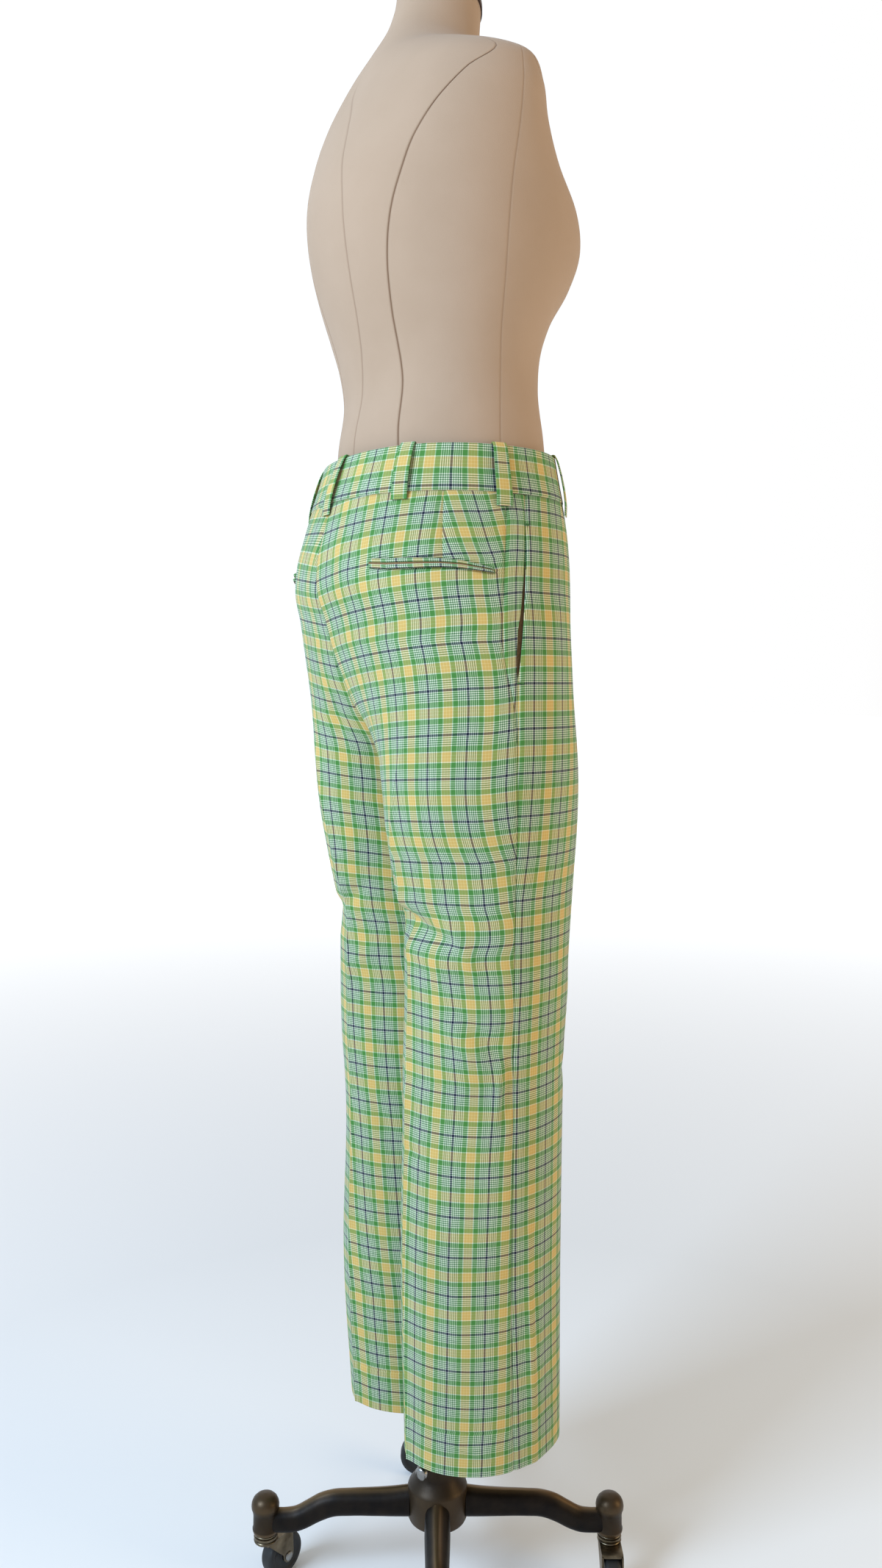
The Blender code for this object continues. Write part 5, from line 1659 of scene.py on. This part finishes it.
def add_floor():
    """A wide pale floor, which glows a little far from the part."""
    half = FLOOR_HALF
    corners = [(-half, -half, 0.0), (half, -half, 0.0), (half, half, 0.0), (-half, half, 0.0)]
    mesh = bpy.data.meshes.new("studio_floor")
    mesh.from_pydata(corners, [], [(0, 1, 2, 3)])
    material, tree, shader = new_material("pale_floor", (0.74, 0.74, 0.74, 1.0), 0.95)
    place = tree.nodes.new("ShaderNodeTexCoord")
    distance = tree.nodes.new("ShaderNodeVectorMath")
    distance.operation = "LENGTH"
    tree.links.new(place.outputs["Object"], distance.inputs[0])
    glow = ranged(tree, distance.outputs["Value"], 0.0, GLOW_STRENGTH, GLOW_FROM, GLOW_TO)
    tree.links.new(glow, shader.inputs["Emission Strength"])
    shader.inputs["Emission Color"].default_value = (1.0, 1.0, 1.0, 1.0)
    mesh.materials.append(material)
    floor = bpy.data.objects.new("studio_floor", mesh)
    bpy.context.scene.collection.objects.link(floor)


def add_surround():
    """The light from all round: tinted from the view's left to its right, dimmer behind the camera."""
    back, right = view_directions()
    world = bpy.data.worlds.new("pale_surround")
    world.use_nodes = True
    bpy.context.scene.world = world
    tree = world.node_tree
    surround = tree.nodes["Background"]
    place = tree.nodes.new("ShaderNodeTexCoord")
    toward = []
    for direction in (right, -back):
        share = tree.nodes.new("ShaderNodeVectorMath")
        share.operation = "DOT_PRODUCT"
        share.inputs[1].default_value = direction
        tree.links.new(place.outputs["Generated"], share.inputs[0])
        toward.append(share.outputs["Value"])
    tints = [(position, (*tint, 1.0)) for position, tint in SURROUND_TINTS]
    tint = colour_ramp(tree, ranged(tree, toward[0], 0.0, 1.0, -1.0, 1.0), tints, "EASE")
    tree.links.new(tint, surround.inputs["Color"])
    dimmed = ranged(tree, toward[1], DIM_STRENGTH, 1.0, DIM_FROM, DIM_TO)
    tree.links.new(dimmed, surround.inputs["Strength"])


def add_lights():
    """The cool key light and the warm fill light."""
    back, right = view_directions()
    for row in LIGHT_ROWS:
        light = dict(zip(LIGHT_COLUMNS, row))
        place = back * light["back"] + right * light["right"] + np.array([0.0, 0.0, light["up"]])
        add_area_light(light["name"], place, LIGHT_TARGET, light["size"], light["power"], light["tint"])


def add_stitches(name, side, starts, ends, lift, radius=THREAD_RADIUS):
    """Separate stitches, each a short round thread from one (z, q) to another on the trousers' face.

    The rings at a stitch's ends are smaller and sink into the cloth.
    """
    ring = dict(zip(STITCH_COLUMNS, np.array(STITCH_RINGS).T))
    along = ring["along"][None, :, None]
    thickness = ring["thickness"][None, :, None, None]
    sink = ring["sink"][None, :]
    starts, ends = np.asarray(starts, dtype=float), np.asarray(ends, dtype=float)
    place = starts[:, None, :] + (ends - starts)[:, None, :] * along
    middle = shell(side, place[..., 0], place[..., 1], lift + sink)
    outward = shell(side, place[..., 0], place[..., 1], lift + sink + 0.001) - middle
    outward = unit(outward)
    forward = np.gradient(middle, axis=1)
    sideways = unit(np.cross(forward, outward))
    angle = np.linspace(0.0, 2.0 * np.pi, STITCH_SIDES, endpoint=False)[None, None, :, None]
    rings = np.cos(angle) * sideways[:, :, None, :] + np.sin(angle) * outward[:, :, None, :]
    grid = middle[:, :, None, :] + radius * thickness * rings
    points = grid.reshape(-1, 3)
    count = len(STITCH_RINGS) * STITCH_SIDES
    first = count * np.arange(len(starts))[:, None, None]
    quads = grid_quads(len(STITCH_RINGS), STITCH_SIDES, closed_columns=True)
    caps = [np.arange(STITCH_SIDES)[::-1], np.arange(count - STITCH_SIDES, count)]
    quads, caps = facing_out(points[:count], quads, caps)
    quads = (quads[None] + first).reshape(-1, 4)
    caps = (np.array(caps)[None] + first).reshape(-1, STITCH_SIDES)
    make_piece(name, points, quads, "thread", "form", ends=caps.tolist())


def bar_tack(z, q, half_z, half_q, turns):
    """Starts and ends of a dense zigzag of stitches, centred at (z, q)."""
    step = np.linspace(-1.0, 1.0, turns + 1)
    swing = np.where(np.arange(turns + 1) % 2 == 0, -1.0, 1.0)
    if half_z > half_q * LEG_ROUND:
        line = np.stack([z + half_z * step, q + half_q * swing], axis=-1)
    else:
        line = np.stack([z + half_z * swing, q + half_q * step], axis=-1)
    return line[:-1], line[1:]


def add_tacks(name, side, rows, lift):
    """Bar tacks from rows of a table, as one piece."""
    tacks = [bar_tack(**dict(zip(TACK_COLUMNS, row))) for row in rows]
    starts, ends = (np.concatenate(part) for part in zip(*tacks))
    add_stitches(name, side, starts, ends, lift)


def dashes(z, q, count, share):
    """Starts and ends of a row of stitches along the line through the places z and q."""
    run = running(np.hypot(np.diff(z), np.diff(q) * LEG_ROUND))
    starts = run[-1] * np.arange(count) / count
    ends = starts + run[-1] * share / count
    return (
        np.stack([np.interp(starts, run, z), np.interp(starts, run, q)], axis=-1),
        np.stack([np.interp(ends, run, z), np.interp(ends, run, q)], axis=-1),
    )


def add_sewing():
    """Bar tacks at the pockets' ends and the loops' feet, the hems' picks and the fly's curved row."""
    loop_face = BAND_PROUD + CLOTH_GAP + LOOP_WALL
    for side in (-1, 1):
        name = side_name(side)
        add_tacks(f"side_pocket_tacks_{name}", side, SIDE_POCKET_TACKS, SIDE_TACK_LIFT)
        add_tacks(f"welt_tacks_{name}", side, WELT_TACKS, 0.0)
        for loop, middle in zip(LOOP_NAMES, LOOP_Q):
            half = half_loop(middle, side) * LOOP_TACK_SHARE
            foot = LOOP_BOTTOMS[loop] + LOOP_TACK_UP
            row = (foot, middle, LOOP_TACK_HALF_Z, half, LOOP_TACK_TURNS)
            add_tacks(f"loop_tack_{loop}_{name}", side, (row,), loop_face)
        around = np.linspace(*HEM_PICK_SPAN, 400)
        starts, ends = dashes(np.full(400, HEM_STITCH_Z), around, HEM_PICKS, HEM_PICK_SHARE)
        add_stitches(f"hem_picks_{name}", side, starts, ends, -HEM_STITCH_DEPTH, PICK_RADIUS)
    z = np.linspace(WAIST_SEAM_Z - 0.003, FLY_BOTTOM_Z + 0.004, 60)
    q = (fly_width(z) - FLY_ROW_IN) / (np.pi * FLY_HIP_RADIUS) + FLY_START_Q
    starts, ends = dashes(z, q, FLY_STITCHES, FLY_STITCH_SHARE)
    add_stitches("fly_row", 1, starts, ends, CLOTH_GAP + WALL)


def main():
    """Builds every piece of the part, then the camera, the floor and the lights."""
    add_panels()
    add_waistband()
    add_belt_loops()
    add_pockets()
    add_closure()
    add_sewing()
    add_form()
    add_neck_cap()
    add_base()
    add_pole_and_screw()
    for number, trail_yaw in enumerate(TRAIL_YAWS):
        post = level_direction(BASE_YAW + number * math.pi / 2.0) * POST_DISTANCE
        add_caster(number, post, level_direction(math.radians(trail_yaw)))
    add_camera()
    add_floor()
    add_surround()
    add_lights()
    bpy.context.scene.view_settings.view_transform = "Standard"


main()
